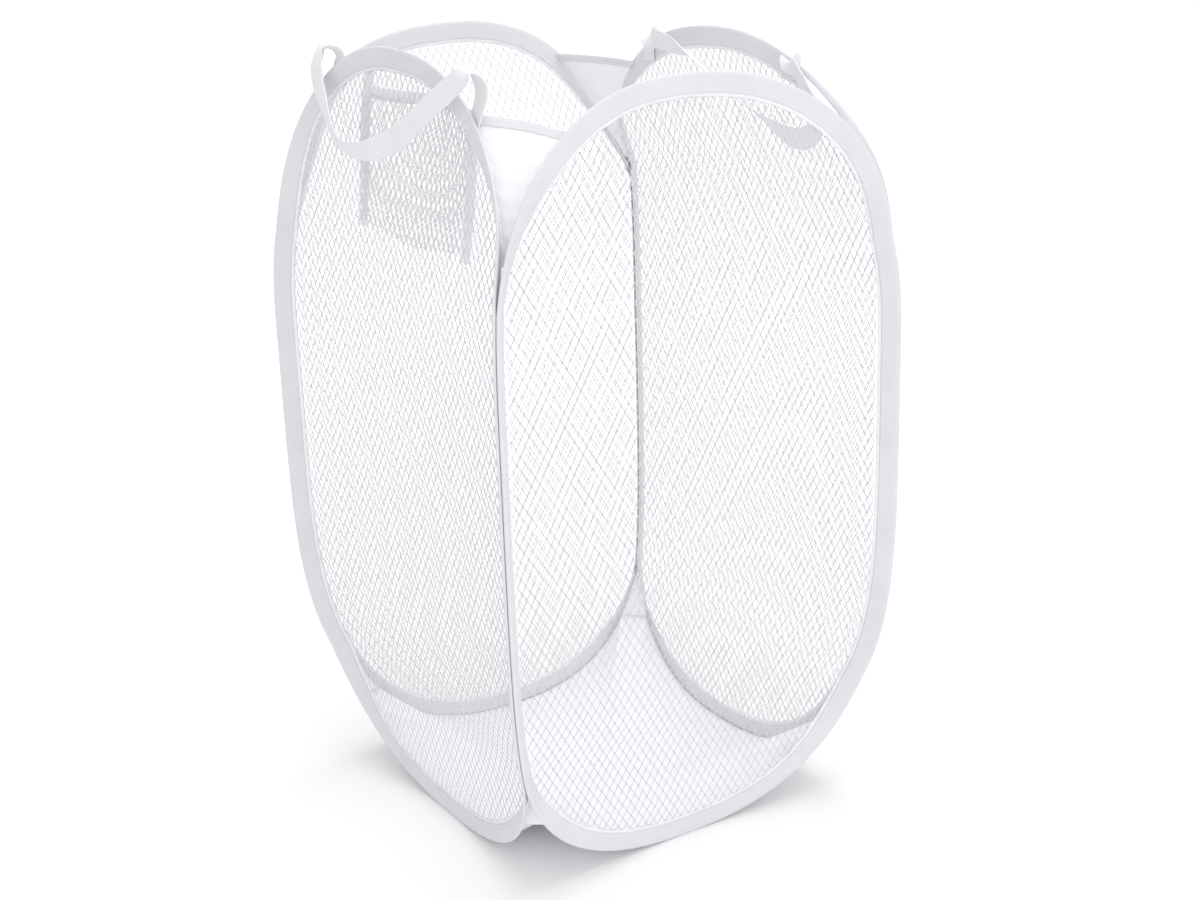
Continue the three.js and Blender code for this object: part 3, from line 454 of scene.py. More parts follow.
def cloth_finish(name, light, dark, patches, roughness, sheen, weave=None, depth=0.0):
    """Cloth: a shade that drifts between a light and a dark colour, with so many patches a metre,
    and, where a weave is given as warps and wefts a metre, threads that follow the piece's map."""
    material = bpy.data.materials.new(name)
    material.use_nodes = True
    tree = material.node_tree
    shader = tree.nodes["Principled BSDF"]
    place = add_node(tree, "ShaderNodeTexCoord")
    shade = tree.nodes.new("ShaderNodeGroup")
    shade.node_tree = SHADE
    tree.links.new(place.outputs["Object"], shade.inputs["Vector"])
    shade.inputs["Light"].default_value = linear(*light)
    shade.inputs["Dark"].default_value = linear(*dark)
    shade.inputs["Patches"].default_value = patches
    tree.links.new(shade.outputs["Color"], shader.inputs["Base Color"])
    shader.inputs["Roughness"].default_value = roughness
    shader.inputs["Sheen Weight"].default_value = sheen
    shader.inputs["Sheen Roughness"].default_value = 0.5
    shader.inputs["Specular IOR Level"].default_value = 0.25
    if weave:
        threads = tree.nodes.new("ShaderNodeGroup")
        threads.node_tree = WEAVE
        tree.links.new(place.outputs["UV"], threads.inputs["Vector"])
        threads.inputs["Warps"].default_value, threads.inputs["Wefts"].default_value = weave
        bump = add_node(tree, "ShaderNodeBump", {"Height": threads.outputs["Height"]})
        bump.inputs["Strength"].default_value = 0.5
        bump.inputs["Distance"].default_value = depth
        tree.links.new(bump.outputs["Normal"], shader.inputs["Normal"])
    return material


TAPE_FINISH = cloth_finish(
    name="bound tape",
    light=(227, 226, 230),
    dark=(217, 216, 222),
    patches=28,
    roughness=0.8,
    sheen=0.15,
    weave=(1500, 900),
    depth=0.1 * MM,
)
NET_FINISH = cloth_finish(
    name="knitted thread",
    light=(234, 234, 237),
    dark=(226, 226, 231),
    patches=60,
    roughness=0.65,
    sheen=0.1,
)
SELVEDGE_FINISH = cloth_finish(
    name="net edge",
    light=(243, 243, 246),
    dark=(234, 234, 239),
    patches=90,
    roughness=0.7,
    sheen=0.2,
)
GUSSET_FINISH = cloth_finish(
    name="gusset cloth",
    light=(248, 248, 250),
    dark=(242, 242, 246),
    patches=14,
    roughness=0.6,
    sheen=0.2,
    weave=(2400, 2400),
    depth=0.06 * MM,
)
BASE_FINISH = cloth_finish(
    name="base cloth",
    light=(251, 250, 254),
    dark=(244, 243, 249),
    patches=12,
    roughness=0.6,
    sheen=0.2,
    weave=(2400, 2400),
    depth=0.06 * MM,
)
STRAP_FINISH = cloth_finish(
    name="flat webbing",
    light=(241, 239, 242),
    dark=(230, 228, 232),
    patches=40,
    roughness=0.75,
    sheen=0.15,
    weave=(1250, 620),
    depth=0.2 * MM,
)
POCKET_NET_FINISH = cloth_finish(
    name="pocket thread",
    light=(251, 251, 252),
    dark=(245, 245, 248),
    patches=60,
    roughness=0.65,
    sheen=0.1,
)
POCKET_TAPE_FINISH = cloth_finish(
    name="pocket tape",
    light=(248, 247, 250),
    dark=(240, 239, 244),
    patches=40,
    roughness=0.8,
    sheen=0.15,
    weave=(1500, 900),
    depth=0.1 * MM,
)
THREAD_FINISH = cloth_finish(
    name="sewing thread",
    light=(246, 246, 249),
    dark=(236, 236, 241),
    patches=300,
    roughness=0.5,
    sheen=0.3,
)


def wire_finish():
    """Blued spring steel: a brushed grain that runs with the strip, and slightly uneven gloss."""
    material = bpy.data.materials.new("spring steel")
    material.use_nodes = True
    tree = material.node_tree
    shader = tree.nodes["Principled BSDF"]
    place = add_node(tree, "ShaderNodeTexCoord")
    grain = add_node(
        tree,
        "ShaderNodeTexNoise",
        {"Vector": place.outputs["Object"], "Scale": 700.0, "Detail": 4.0},
    )
    gloss = maths(tree, "MULTIPLY_ADD", grain.outputs["Fac"], 0.25, 0.25)
    tree.links.new(gloss, shader.inputs["Roughness"])
    shader.inputs["Base Color"].default_value = (0.42, 0.43, 0.45, 1)
    shader.inputs["Metallic"].default_value = 1.0
    bump = add_node(tree, "ShaderNodeBump", {"Height": grain.outputs["Fac"], "Strength": 0.2})
    bump.inputs["Distance"].default_value = 0.05 * MM
    tree.links.new(bump.outputs["Normal"], shader.inputs["Normal"])
    return material


WIRE_FINISH = wire_finish()


# Stitching

STITCH_SIDES = 4
# Height of a stitch's arch and depth of its ends, in radii of the thread
STITCH_ARCH = 1.2
STITCH_DIP = 0.5


def stitches(path, up, pitch=3.4 * MM, length=2.6 * MM, radius=0.22 * MM):
    """Separate stitches along a path, each a low arch of thread whose ends dip into the cloth:
    the lift is a half sine less the depth of the ends. Each has four rings of four points."""
    total = running_length(path)
    count = max(int(total[-1] / pitch), 1)
    starts = (np.arange(count) + 0.5) * total[-1] / count - length / 2
    shares = np.linspace(0, 1, STITCH_SIDES)
    places = starts[:, None] + shares[None, :] * length
    centre = np.stack([np.interp(places, total, path[:, k]) for k in range(3)], axis=-1)
    rise = unit(np.stack([np.interp(places, total, up[:, k]) for k in range(3)], axis=-1))
    way = unit(centre[:, -1:] - centre[:, :1])
    across = unit(np.cross(way, rise))
    lift = (np.sin(np.pi * shares) * STITCH_ARCH - STITCH_DIP) * radius
    centre = centre + rise * lift[None, :, None]
    turns = np.arange(STITCH_SIDES) * math.pi / 2 + math.pi / 4
    cos, sin = np.cos(turns)[:, None], np.sin(turns)[:, None]
    rings = centre[:, :, None] + radius * (cos * across[:, :, None] + sin * rise[:, :, None])
    tube = grid_faces(STITCH_SIDES, STITCH_SIDES, wrap_columns=True)
    one = np.concatenate([tube, [[3, 2, 1, 0], [12, 13, 14, 15]]])
    size = STITCH_SIDES**2
    faces = (one[None] + size * np.arange(count)[:, None, None]).reshape(-1, 4)
    uv = np.zeros((count * size, 2))
    return rings.reshape(-1, 3), faces, uv


# Folded edge tapes, and the edge of the net, the wire and the stitching in them. A section is a
# list of depths from the tape's outer edge and one of distances towards its inner face.

FOLD_DEPTHS = np.array([15, 14, 12.5, 11, 8, 5.5, 3, 1.2, 0.5, 0.15, 0]) * MM
FOLD_HALVES = np.array([0.84, 0.84, 0.86, 0.96, 1.02, 1.16, 1.3, 1.2, 0.95, 0.55, 0]) * MM
INNER_DEPTHS = np.array([0.55, 1.3, 3, 5.5, 8, 11, 12.5, 14, 15]) * MM
INNER_HALVES = np.array([0, 0.75, 0.85, 0.7, 0.58, 0.5, 0.42, 0.4, 0.4]) * MM
FOLD_SECTION = (
    np.concatenate([FOLD_DEPTHS, FOLD_DEPTHS[-2::-1], INNER_DEPTHS[::-1], INNER_DEPTHS[1:]]),
    np.concatenate([FOLD_HALVES, -FOLD_HALVES[-2::-1], -INNER_HALVES[::-1], INNER_HALVES[1:]]),
)
RIM_SECTION = (
    np.array([12, 14.5, 17.2, 17.8, 17.2, 14.5, 12]) * MM,
    np.array([0.25, 0.28, 0.35, 0, -0.35, -0.28, -0.25]) * MM,
)
WIRE_SECTION = (
    np.array([0.9, 1.05, 3.75, 3.9, 3.75, 1.05]) * MM,
    np.array([0, 0.34, 0.34, 0, -0.34, -0.34]) * MM,
)
STITCH_DEPTH = 12.5 * MM
STITCH_HALF = 0.9 * MM
# Half the tape's thickness where it is sewn, and the depths over which it comes to lean on its
# neighbour
SEWN_HALF = 0.86 * MM
LEAN_FROM = 5 * MM
LEAN_LENGTH = 7.5 * MM
# Heights of the free edge's waves and of the folds where the tape twists, in mm; how the waves
# grow towards the free edge; and the twist in radians a metre at which the folds are full
EDGE_WAVE = 0.12
TWIST_FOLD = 0.62
EDGE_GROWTH = 1.3
FULL_TWIST = 14
# How many slow waves, folds and wanders of the folds go round a loop, and the radians by which a
# fold slants over a depth
SLOW_WAVES = (34, 55)
FOLD_WAVES = 88
FOLD_WANDERS = 23
FOLD_SLANT = 5
SLANT_DEPTH = 13 * MM
# Points over which the twist is averaged
TWIST_WINDOW = 21


def sewn_shift(point, depth):
    """Inward shift of the tape's free half where two tapes are sewn face to face: it leans on its
    neighbour there, and not at all where they have parted."""
    lean = smooth((depth - LEAN_FROM) / LEAN_LENGTH) * (TAPE_HALF - SEWN_HALF)
    return fin(point[..., 2]) * lean


def wrinkles(tape, depth, turn):
    """Inward shift of the tape. The free edge waves faintly all along, and where the tape twists
    it has diagonal folds: a wave of length plus depth, stronger towards the free edge."""
    point, _, inner = tape
    span = np.linalg.norm(np.roll(point, -1, axis=0) - point, axis=1)
    length = (np.cumsum(span) - span)[:, None]
    whole = span.sum()
    twist = np.linalg.norm(np.roll(inner, -1, axis=0) - np.roll(inner, 1, axis=0), axis=1)
    twist = twist / (span + np.roll(span, 1))
    window = np.hanning(TWIST_WINDOW) / np.hanning(TWIST_WINDOW).sum()
    around = TWIST_WINDOW // 2
    twist = np.convolve(np.concatenate([twist[-around:], twist, twist[:around]]), window, "valid")
    twist = np.clip(twist / FULL_TWIST, 0, 1)[:, None]
    free = (depth[None, :] / TAPE_WIDTH) ** EDGE_GROWTH
    turns = 2 * math.pi * length / whole
    slow = np.sin(SLOW_WAVES[0] * turns + turn) + 0.6 * np.sin(SLOW_WAVES[1] * turns + 2.1 * turn)
    slant = FOLD_SLANT * (depth[None, :] / SLANT_DEPTH)
    folds = np.sin(FOLD_WAVES * turns + slant + 1.7 * np.sin(FOLD_WANDERS * turns + turn))
    loose = 1 - fin(point[:, 2])[:, None]
    waves = free * MM * (EDGE_WAVE * slow * loose + TWIST_FOLD * twist * folds)
    return waves + sewn_shift(point[:, None], depth[None, :])


def swept_section(tape, depths, inwards, turn):
    """A closed section of (depth, inward) pairs carried once round the loop, with its wrinkles."""
    shift = wrinkles(tape, depths, turn)
    point, outward, inner = (part[:, None] for part in tape)
    rings = point - outward * depths[None, :, None]
    rings = rings + inner * (inwards[None, :] + shift)[..., None]
    stations, count = rings.shape[:2]
    faces = grid_faces(stations, count, wrap_rows=True, wrap_columns=True)
    return rings, faces, length_map(rings[:, 0], np.stack([depths, inwards], axis=-1))


def swept_piece(name, quarters, tape, section, finish):
    """A section carried round a side's loop, as a piece in the hamper's frame."""
    rings, faces, uv = swept_section(tape, *section, quarters)
    return make_piece(name, quarter_turned(rings, quarters), faces, finish, uv)


def stitch_rows(tape, turn):
    """Two rows of stitches, one on each face of the tape near its free edge."""
    shift = wrinkles(tape, np.array([STITCH_DEPTH]), turn)[:, 0]
    rows = []
    for side in (1, -1):
        path = in_tape(tape, np.full(len(shift), STITCH_DEPTH), side * STITCH_HALF + shift)
        closed = np.concatenate([path, path[:1]])
        up = np.concatenate([tape[2], tape[2][:1]]) * side
        rows.append(stitches(closed, up))
    return joined(rows)


# Knitted nets

NET_PITCH = 3.75 * MM
NET_HALF_CELL = 6 * MM
NET_KNOT = 0.6 * MM
NET_THREAD = 0.42 * MM
# How far the threads drift, and the lengths of the waves of that drift up and along the net
NET_DRIFT = 0.5 * MM
DRIFT_UP = 41 * MM
DRIFT_ALONG = 57 * MM
# Width across a panel's middle over which the net goes from one side's rim to the other's
NET_MIDDLE = 60 * MM


class NetSurface:
    """A panel net's surface: at its rim it is where the tape lets it go, and in between it is drawn
    inwards, by a parabola across the panel times a half sine up it."""

    def __init__(self, side):
        tape = tape_frame(even_angles(side, 1200), side)
        depths = np.full(len(tape[0]), NET_DEPTH)
        rim = in_tape(tape, depths, sewn_shift(tape[0], depths))
        self.halves = []
        for way in (1, -1):
            half = rim[rim[:, 0] * way >= 0]
            self.halves.append(half[np.argsort(half[:, 2])])
        self.widest = self.halves[0][:, 0].max()

    def __call__(self, along, height):
        """Points of the net: each side's own surface, passed over into the other in the middle."""
        found = []
        for rim in self.halves:
            held = np.clip(height, rim[0, 2], rim[-1, 2])
            rim_x = np.abs(np.interp(held, rim[:, 2], rim[:, 0]))
            rim_y = np.interp(held, rim[:, 2], rim[:, 1])
            across = np.minimum((along / np.maximum(rim_x, CLEARANCE)) ** 2, 1)
            upward = np.sin(math.pi * (held - rim[0, 2]) / (rim[-1, 2] - rim[0, 2]))
            found.append(rim_y + NET_DISH * (1 - across) * upward)
        share = smooth(along / NET_MIDDLE + 0.5)
        return np.stack([along, found[1] + (found[0] - found[1]) * share, height], axis=-1)

    def limits(self, along):
        """Lowest and highest place of the net at each distance from its middle."""
        ends = []
        for rim in self.halves:
            widest = np.abs(rim[:, 0]).argmax()
            low, high = rim[: widest + 1], rim[widest:][::-1]
            ends.append(
                [np.interp(np.abs(along), np.abs(part[:, 0]), part[:, 2]) for part in (low, high)]
            )
        return tuple(np.where(along >= 0, plus, minus) for plus, minus in zip(*ends))


def knitted(surface, columns, limits, phase=0.0, thread=NET_THREAD):
    """Upright threads that zigzag in antiphase, so neighbours meet in knots and leave tall
    diamonds, and that drift by half a millimetre in slow waves. Each is a three-sided tube, cut
    off where the net ends."""
    low, high = limits(columns)
    first = math.floor(low.min() / NET_HALF_CELL) - 1
    last = math.ceil(high.max() / NET_HALF_CELL) + 1
    knots = np.arange(first, last + 1)
    heights = (knots[:, None] * NET_HALF_CELL + phase + np.array([-NET_KNOT, NET_KNOT])).ravel()
    signs = np.repeat(np.where(knots % 2, -1.0, 1.0), 2)
    flips = np.where(np.arange(len(columns)) % 2, -1.0, 1.0)
    swing = NET_PITCH / 2 - 0.8 * thread
    along = columns[:, None] + swing * flips[:, None] * signs[None, :]
    height = np.clip(heights[None, :], low[:, None], high[:, None])
    drift = NET_DRIFT * np.sin(height / DRIFT_UP + 1.3) * np.cos(columns[:, None] / DRIFT_ALONG)
    centre = surface(along + drift, height)
    turns = np.array([90, 210, 330]) * math.pi / 180
    ways = np.stack([np.cos(turns), -np.sin(turns), 0 * turns], axis=-1) * thread
    rings = centre[:, :, None] + ways[None, None]
    lines, stations = along.shape
    base = (np.arange(lines)[:, None] * stations + np.arange(stations)[None]) * 3
    real = np.diff(height, axis=1) > 1e-6
    start, end = base[:, :-1][real], base[:, 1:][real]
    sides = [
        np.stack([start + k, end + k, end + (k + 1) % 3, start + (k + 1) % 3], axis=-1)
        for k in range(3)
    ]
    has = real.any(axis=1)
    bottom = base[has, real.argmax(axis=1)[has]]
    top = base[has, stations - 1 - real[:, ::-1].argmax(axis=1)[has]]
    caps = [
        np.stack([bottom, bottom + 1, bottom + 2, bottom + 2], axis=-1),
        np.stack([top, top + 2, top + 1, top + 1], axis=-1),
    ]
    faces = np.concatenate(sides + caps)
    used, faces = np.unique(faces, return_inverse=True)
    return rings.reshape(-1, 3)[used], faces.reshape(-1, 4)


def panel_pieces(quarters, side):
    """The tape, its stitching, the edge of the net, the wire and the net of one side."""
    tape = tape_frame(even_angles(side, 560), side)
    folded = swept_piece(side + "_edge_tape", quarters, tape, FOLD_SECTION, TAPE_FINISH)
    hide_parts("edge_tape_" + side)

    points, faces, uv = stitch_rows(tape, quarters)
    points = quarter_turned(points, quarters)
    stitching = make_piece(
        side + "_tape_stitching", points, faces, THREAD_FINISH, uv, outward=False
    )

    rim = swept_piece(side + "_net_edge", quarters, tape, RIM_SECTION, SELVEDGE_FINISH)
    wire = swept_piece(side + "_wire", quarters, tape, WIRE_SECTION, WIRE_FINISH)
    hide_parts("spring_wire_" + side)

    surface = NetSurface(side)
    widest = surface.widest - NET_PITCH / 2
    count = int(2 * widest / NET_PITCH)
    columns = (np.arange(count + 1) - count / 2) * (2 * widest / count)
    points, faces = knitted(
        surface, columns, lambda x: surface.limits(x + np.sign(x) * NET_PITCH / 2)
    )
    points = quarter_turned(points, quarters)
    net = make_piece(side + "_net", points, faces, NET_FINISH, outward=False)
    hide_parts("net_" + side)
    for piece in (folded, stitching, rim, wire, net):
        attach(piece, PANEL_BODY[side])
    return net, rim


# Gussets between the tapes at the corners, and the hem on each upper one

CLOTH_INWARD = TAPE_HALF + CLEARANCE + CLOTH / 2
UPPER_BULGE = 1.5 * MM
LOWER_BULGE = -1 * MM
# A hem's section from its free edge over the fold: shares of its width and of its half thickness
HEM_RISES = np.array([0, 0.04, 0.16, 0.3, 0.8, 0.95, 1.02, 1.05])
HEM_SIDES = np.array([0.6, 0.95, 0.85, 0.7, 1.0, 0.8, 0.4, 0.0])
HEM_HALF = 1.0 * MM
# Where a hem's stitching runs: a share of its width from its lower edge, and out from its middle
HEM_STITCH = 0.2
HEM_STITCH_HALF = 0.8 * MM
# The wave of a hem's lower edge, as a share of its width; how many radians of it run along the
# hem; and the share of the hem's length by which the lower edge is shorter at each end
HEM_WAVE = 0.02
HEM_WAVES = 40
HEM_SHORTER = 0.035
# Puckers of the cloth along its seams: how far they reach, the share of that over which they
# start, their length, and their height in mm
PUCKER_REACH = 9 * MM
PUCKER_START = 0.2
PUCKER_LENGTH = 1.9 * MM
PUCKER_RISE = 0.35
# Slack that runs across the free edge: its half waves, and its height in mm
SLACK_WAVES = 2.2
SLACK_RISE = 0.9
# How the bulge grows towards the free edge, and its share that goes inwards
BULGE_GROWTH = 1.5
BULGE_INWARD = 0.4


def seam_depth(heights):
    """How far inside the tape's outer edge cloth is sewn: 3 mm in, and deeper where the tape is
    turned out to its neighbour."""
    return CLOTH_LAP + (TAPE_WIDTH - 2 * CLOTH_LAP) * fin(heights)


def cloth_edge(heights, side, way):
    """Where cloth is sewn to the inner face of a side's tape, on its half towards +x or -x."""
    angles = angle_at_height(heights)
    tape = tape_frame(angles if way > 0 else math.pi - angles, side)
    return in_tape(tape, seam_depth(heights), np.full_like(heights, CLOTH_INWARD))


def corner_edges(quarters, heights, other_heights=None):
    """The two sewn edges of the cloth in a corner, in the frame of the side before it."""
    here = cloth_edge(heights, SIDES[quarters], 1)
    other_heights = heights if other_heights is None else other_heights
    there = cloth_edge(other_heights, SIDES[(quarters + 1) % 4], -1)
    return here, quarter_turned(there, 1)


def corner_cloth(quarters, apex, wide, rows, columns, bulge):
    """A gusset's middle surface: straight across from tape to tape between the apex and the two
    ends of its free edge (wide, in m), plus a bulge that grows to that edge, with small puckers
    along both seams and some slack across the free edge."""
    down = np.linspace(0, 1, rows)
    heights = apex + (wide[0] - apex) * down
    here, there = corner_edges(quarters, heights, apex + (wide[1] - apex) * down)
    across = np.linspace(0, 1, columns)
    grid = here[:, None] + (there - here)[:, None] * across[None, :, None]
    bow = np.sin(np.pi * across)[None, :] * down[:, None] ** BULGE_GROWTH
    grid[..., 2] += bulge * bow
    outward = unit(np.array([1.0, -1.0, 0.0]))
    width = np.linalg.norm(there - here, axis=-1)[:, None]
    near = np.minimum(across, 1 - across)[None, :] * width / PUCKER_REACH
    pucker = np.exp(-(near**2)) * (1 - np.exp(-((near / PUCKER_START) ** 2)))
    wave = np.sin(heights[:, None] / PUCKER_LENGTH) * PUCKER_RISE * MM
    slack = np.sin(SLACK_WAVES * np.pi * across + 0.6)[None, :] * down[:, None] ** 2
    slack = slack * SLACK_RISE * MM * np.sin(np.pi * across)[None, :]
    shift = wave * pucker + slack - BULGE_INWARD * bulge * bow
    return grid + outward * shift[..., None]


def flat_map(grid):
    """A map in metres: lengths along the rows and down the columns of a grid, from its middle."""
    along = np.linalg.norm(np.diff(grid, axis=1), axis=-1)
    along = np.concatenate([np.zeros((len(grid), 1)), np.cumsum(along, axis=1)], axis=1)
    along -= along[:, -1:] / 2
    down = np.linalg.norm(np.diff(grid, axis=0), axis=-1)
    down = np.concatenate([np.zeros((1, grid.shape[1])), np.cumsum(down, axis=0)])
    return np.stack([along, down], axis=-1)


def hem_edges(cloth):
    """The top and lower edges of the hem on a gusset's free edge. It hangs a hem's width down the
    cloth with a slight wave, and its lower edge is a little shorter at both ends."""
    top = cloth[-1, 2:-2]
    middle = cloth.shape[1] // 2
    down = unit(cloth[-12, middle] - cloth[-1, middle]) * HEM_WIDTH
    low = top + down * (1 - HEM_WAVE * np.cos(np.linspace(0, HEM_WAVES, len(top))))[:, None]
    ends = np.linspace(-1, 1, len(top))[:, None]
    return top, low - (top[-1] - top[0]) * HEM_SHORTER * ends


def hem_rings(top, low):
    """A folded hem over the top edge of a cloth: flat sides, a rounded fold, rolled free edges."""
    along = unit(np.gradient(top, axis=0))
    up = square_to(top - low, along)
    face = np.cross(along, up)
    rises = np.concatenate([HEM_RISES, HEM_RISES[-2::-1]])
    sides = np.concatenate([HEM_SIDES, -HEM_SIDES[-2::-1]])
    across = low[:, None] + (top - low)[:, None] * rises[None, :, None]
    return across + face[:, None] * sides[None, :, None] * HEM_HALF


def gusset_piece(name, quarters, cloth):
    """A gusset from its middle surface, as a piece in the hamper's frame."""
    points, faces, uv = cloth_body(cloth, GUSSET_CLOTH, flat_map(cloth))
    return make_piece(name, quarter_turned(points, quarters), faces, GUSSET_FINISH, uv)


def hem_pieces(name, quarters, cloth):
    """The hem on an upper gusset and its two rows of stitches."""
    top, low = hem_edges(cloth)
    rings = hem_rings(top, low)
    stations, count = rings.shape[:2]
    width = np.linspace(0, 2 * HEM_WIDTH, count)
    uv = np.stack(np.meshgrid(running_length(top), width, indexing="ij"), axis=-1)
    points, faces = quarter_turned(rings, quarters), tube_faces(stations, count)
    hem = make_piece(name + "_hem", points, faces, TAPE_FINISH, uv)
    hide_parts("hem_tape_" + name)

    along = unit(np.gradient(top, axis=0))
    face = unit(np.cross(along, square_to(top - low, along)))
    middle = low + (top - low) * HEM_STITCH
    rows = [stitches(middle + face * side * HEM_STITCH_HALF, face * side) for side in (1, -1)]
    points, faces, uv = joined(rows)
    points = quarter_turned(points, quarters)
    seam = make_piece(
        name + "_hem_stitching", points, faces, THREAD_FINISH, uv, outward=False
    )
    return hem, seam


def corner_pieces(quarters):
    """The upper and lower gussets of one corner, with the hem and its stitching."""
    name = CORNERS[quarters]
    apex, *ends = (height * MM for height in UPPER_CLOTH[name])
    sewn_ends = [end - 1 * MM for end in ends]
    upper = corner_cloth(quarters, apex, sewn_ends, 90, 40, UPPER_BULGE)
    gusset = gusset_piece(name + "_upper_gusset", quarters, upper)
    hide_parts("gusset_upper_" + name)

    lower = corner_cloth(quarters, LOWER_APEX, [LOWER_EDGE - 1 * MM] * 2, 50, 40, LOWER_BULGE)
    foot = gusset_piece(name + "_lower_gusset", quarters, lower)
    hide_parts("gusset_lower_" + name)

    hemmed = corner_cloth(quarters, apex, ends, 90, 90, UPPER_BULGE)
    hem, seam = hem_pieces(name, quarters, hemmed)

    for piece in (gusset, foot, hem, seam):
        if name == "front_left":
            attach(piece, "left_panel")
            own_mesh(piece)
        else:
            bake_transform(piece)


# Base cloth: four flaps that meet on the diagonals, one on each side's foot

# The share of a flap, from the hamper's middle out, that lies flat, and how its slope eases off
BASE_FLAT = 0.3
BASE_EASE = 1.4
# The soft fold along a diagonal: its half width, its height, and the reach from the hamper's
# middle over which it grows
PLEAT_HALF = 9 * MM
PLEAT_RISE = 3.2 * MM
PLEAT_REACH = 230 * MM
# The packing creases: their height, their length across the flap and the length they wander over
CREASE_RISE = 1.1 * MM
CREASE_LENGTH = 23 * MM
CREASE_WANDER = 47 * MM


def lower_edge(quarters, first, last):
    """Points along the free edge of a corner's lower gusset, between two shares of its width."""
    here, there = corner_edges(quarters, np.array([LOWER_EDGE]))
    return here[0] + (there[0] - here[0]) * np.linspace(first, last, 12)[:, None]


def base_rim(quarters):
    """The sewn edge of one flap, from the middle of one corner edge to the middle of the next."""
    side = SIDES[quarters]
    least = float(angle_at_height(np.float64(LOWER_EDGE)))
    angles = np.linspace(-math.pi - least, least, 120)
    tape = tape_frame(angles, side)
    foot = in_tape(tape, seam_depth(tape[0][:, 2]), np.full_like(angles, CLOTH_INWARD))
    after = lower_edge(quarters, 0, 0.5)[1:]
    before = lower_edge((quarters - 1) % 4, 0.5, 1)[:-1]
    return np.concatenate([quarter_turned(before, -1), foot, after])


def base_flap(quarters):
    """From the edge the cloth comes down on a slope that eases off until it lies flat; soft folds
    run in from the corners and creases cross it where it has been packed flat."""
    rim = base_rim(quarters)
    shares = np.concatenate([np.linspace(1, BASE_FLAT, 26), np.linspace(BASE_FLAT, 0.01, 30)[1:]])
    shares = shares[:, None]
    x, y = shares * rim[None, :, 0], shares * rim[None, :, 1]
    rise = np.clip((shares - BASE_FLAT) / (1 - BASE_FLAT), 0, 1) ** BASE_EASE
    height = BASE_CLOTH + (rim[None, :, 2] - BASE_CLOTH) * rise
    diagonal = np.abs(np.abs(x) - np.abs(y))
    away = np.hypot(x, y) / PLEAT_REACH
    fold = np.exp(-((diagonal / PLEAT_HALF) ** 2)) * smooth((away - 0.25) / 0.5) * PLEAT_RISE
    sweep = np.sin(x / CREASE_LENGTH + 2 * np.sin(y / CREASE_WANDER + quarters)) * 0.5 + 0.5
    sweep = sweep * smooth((0.97 - shares) / 0.2) * smooth(shares / 0.35) * CREASE_RISE
    height = height + fold * (1 - rise) + sweep
    return np.stack([x, y, height], axis=-1)


def base_pieces():
    """The four flaps of the base cloth. Each stays with its own side."""
    for quarters, side in enumerate(SIDES):
        grid = base_flap(quarters)
        x, y = grid[..., 0], grid[..., 1]
        points, faces, uv = cloth_body(grid, BASE_CLOTH, np.stack([x, y], axis=-1))
        points = quarter_turned(points, quarters)
        flap = make_piece("base_cloth_" + side, points, faces, BASE_FINISH, uv)
        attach(flap, PANEL_BODY[side])
        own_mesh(flap)
    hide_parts("base_cloth")


# Handles: one strip of webbing a side, sewn to the inner face of the tape at both ends

STRAP_HALF = 8.5 * MM
STRAP_THICK = 1.3 * MM
STRAP_SIDEWAYS = np.array([-1, -0.985, -0.94, -0.5, 0, 0.5, 0.94, 0.985, 1]) * STRAP_HALF
STRAP_LIFTS = np.array([0.12, 0.36, 0.46, 0.5, 0.5, 0.5, 0.46, 0.36, 0.12]) * STRAP_THICK
STRAP_STATIONS = 360
# Length of a strap that is sewn down, and its gap to the tape
SEWN_LENGTH = 8 * MM
SEWN_GAP = 0.2 * MM
# A box and its diagonal, stitched through each sewn end: sideways and up from its middle, in mm
SEWN_BOX = [(-6.3, -5.6), (6.3, -5.6), (6.3, 1.2), (-6.3, 1.2), (-6.3, -5.6), (6.3, 1.2)]
BOX_MARKS = 200
BOX_PITCH = 2.9 * MM
BOX_STITCH = 2.3 * MM


def smooth_path(points, count):
    """An evenly spaced path on a centripetal Catmull-Rom spline through the points."""
    points = np.asarray(points, float)
    ends = 2 * points[0] - points[1], 2 * points[-1] - points[-2]
    points = np.concatenate([[ends[0]], points, [ends[1]]])
    gaps = np.linalg.norm(np.diff(points, axis=0), axis=1) ** 0.5
    times = np.concatenate([[0], np.cumsum(gaps)])
    fine = []
    for k in range(1, len(points) - 2):
        t = np.linspace(times[k], times[k + 1], 60, endpoint=False)[:, None]
        t0, t1, t2, t3 = times[k - 1 : k + 3]
        p0, p1, p2, p3 = points[k - 1 : k + 3]
        a1 = (t1 - t) / (t1 - t0) * p0 + (t - t0) / (t1 - t0) * p1
        a2 = (t2 - t) / (t2 - t1) * p1 + (t - t1) / (t2 - t1) * p2
        a3 = (t3 - t) / (t3 - t2) * p2 + (t - t2) / (t3 - t2) * p3
        b1 = (t2 - t) / (t2 - t0) * a1 + (t - t0) / (t2 - t0) * a2
        b2 = (t3 - t) / (t3 - t1) * a2 + (t - t1) / (t3 - t1) * a3
        fine.append((t2 - t) / (t2 - t1) * b1 + (t - t1) / (t2 - t1) * b2)
    fine = np.concatenate(fine + [points[-2:-1]])
    total = running_length(fine)
    places = np.linspace(0, total[-1], count)
    return np.stack([np.interp(places, total, column) for column in fine.T], axis=-1)


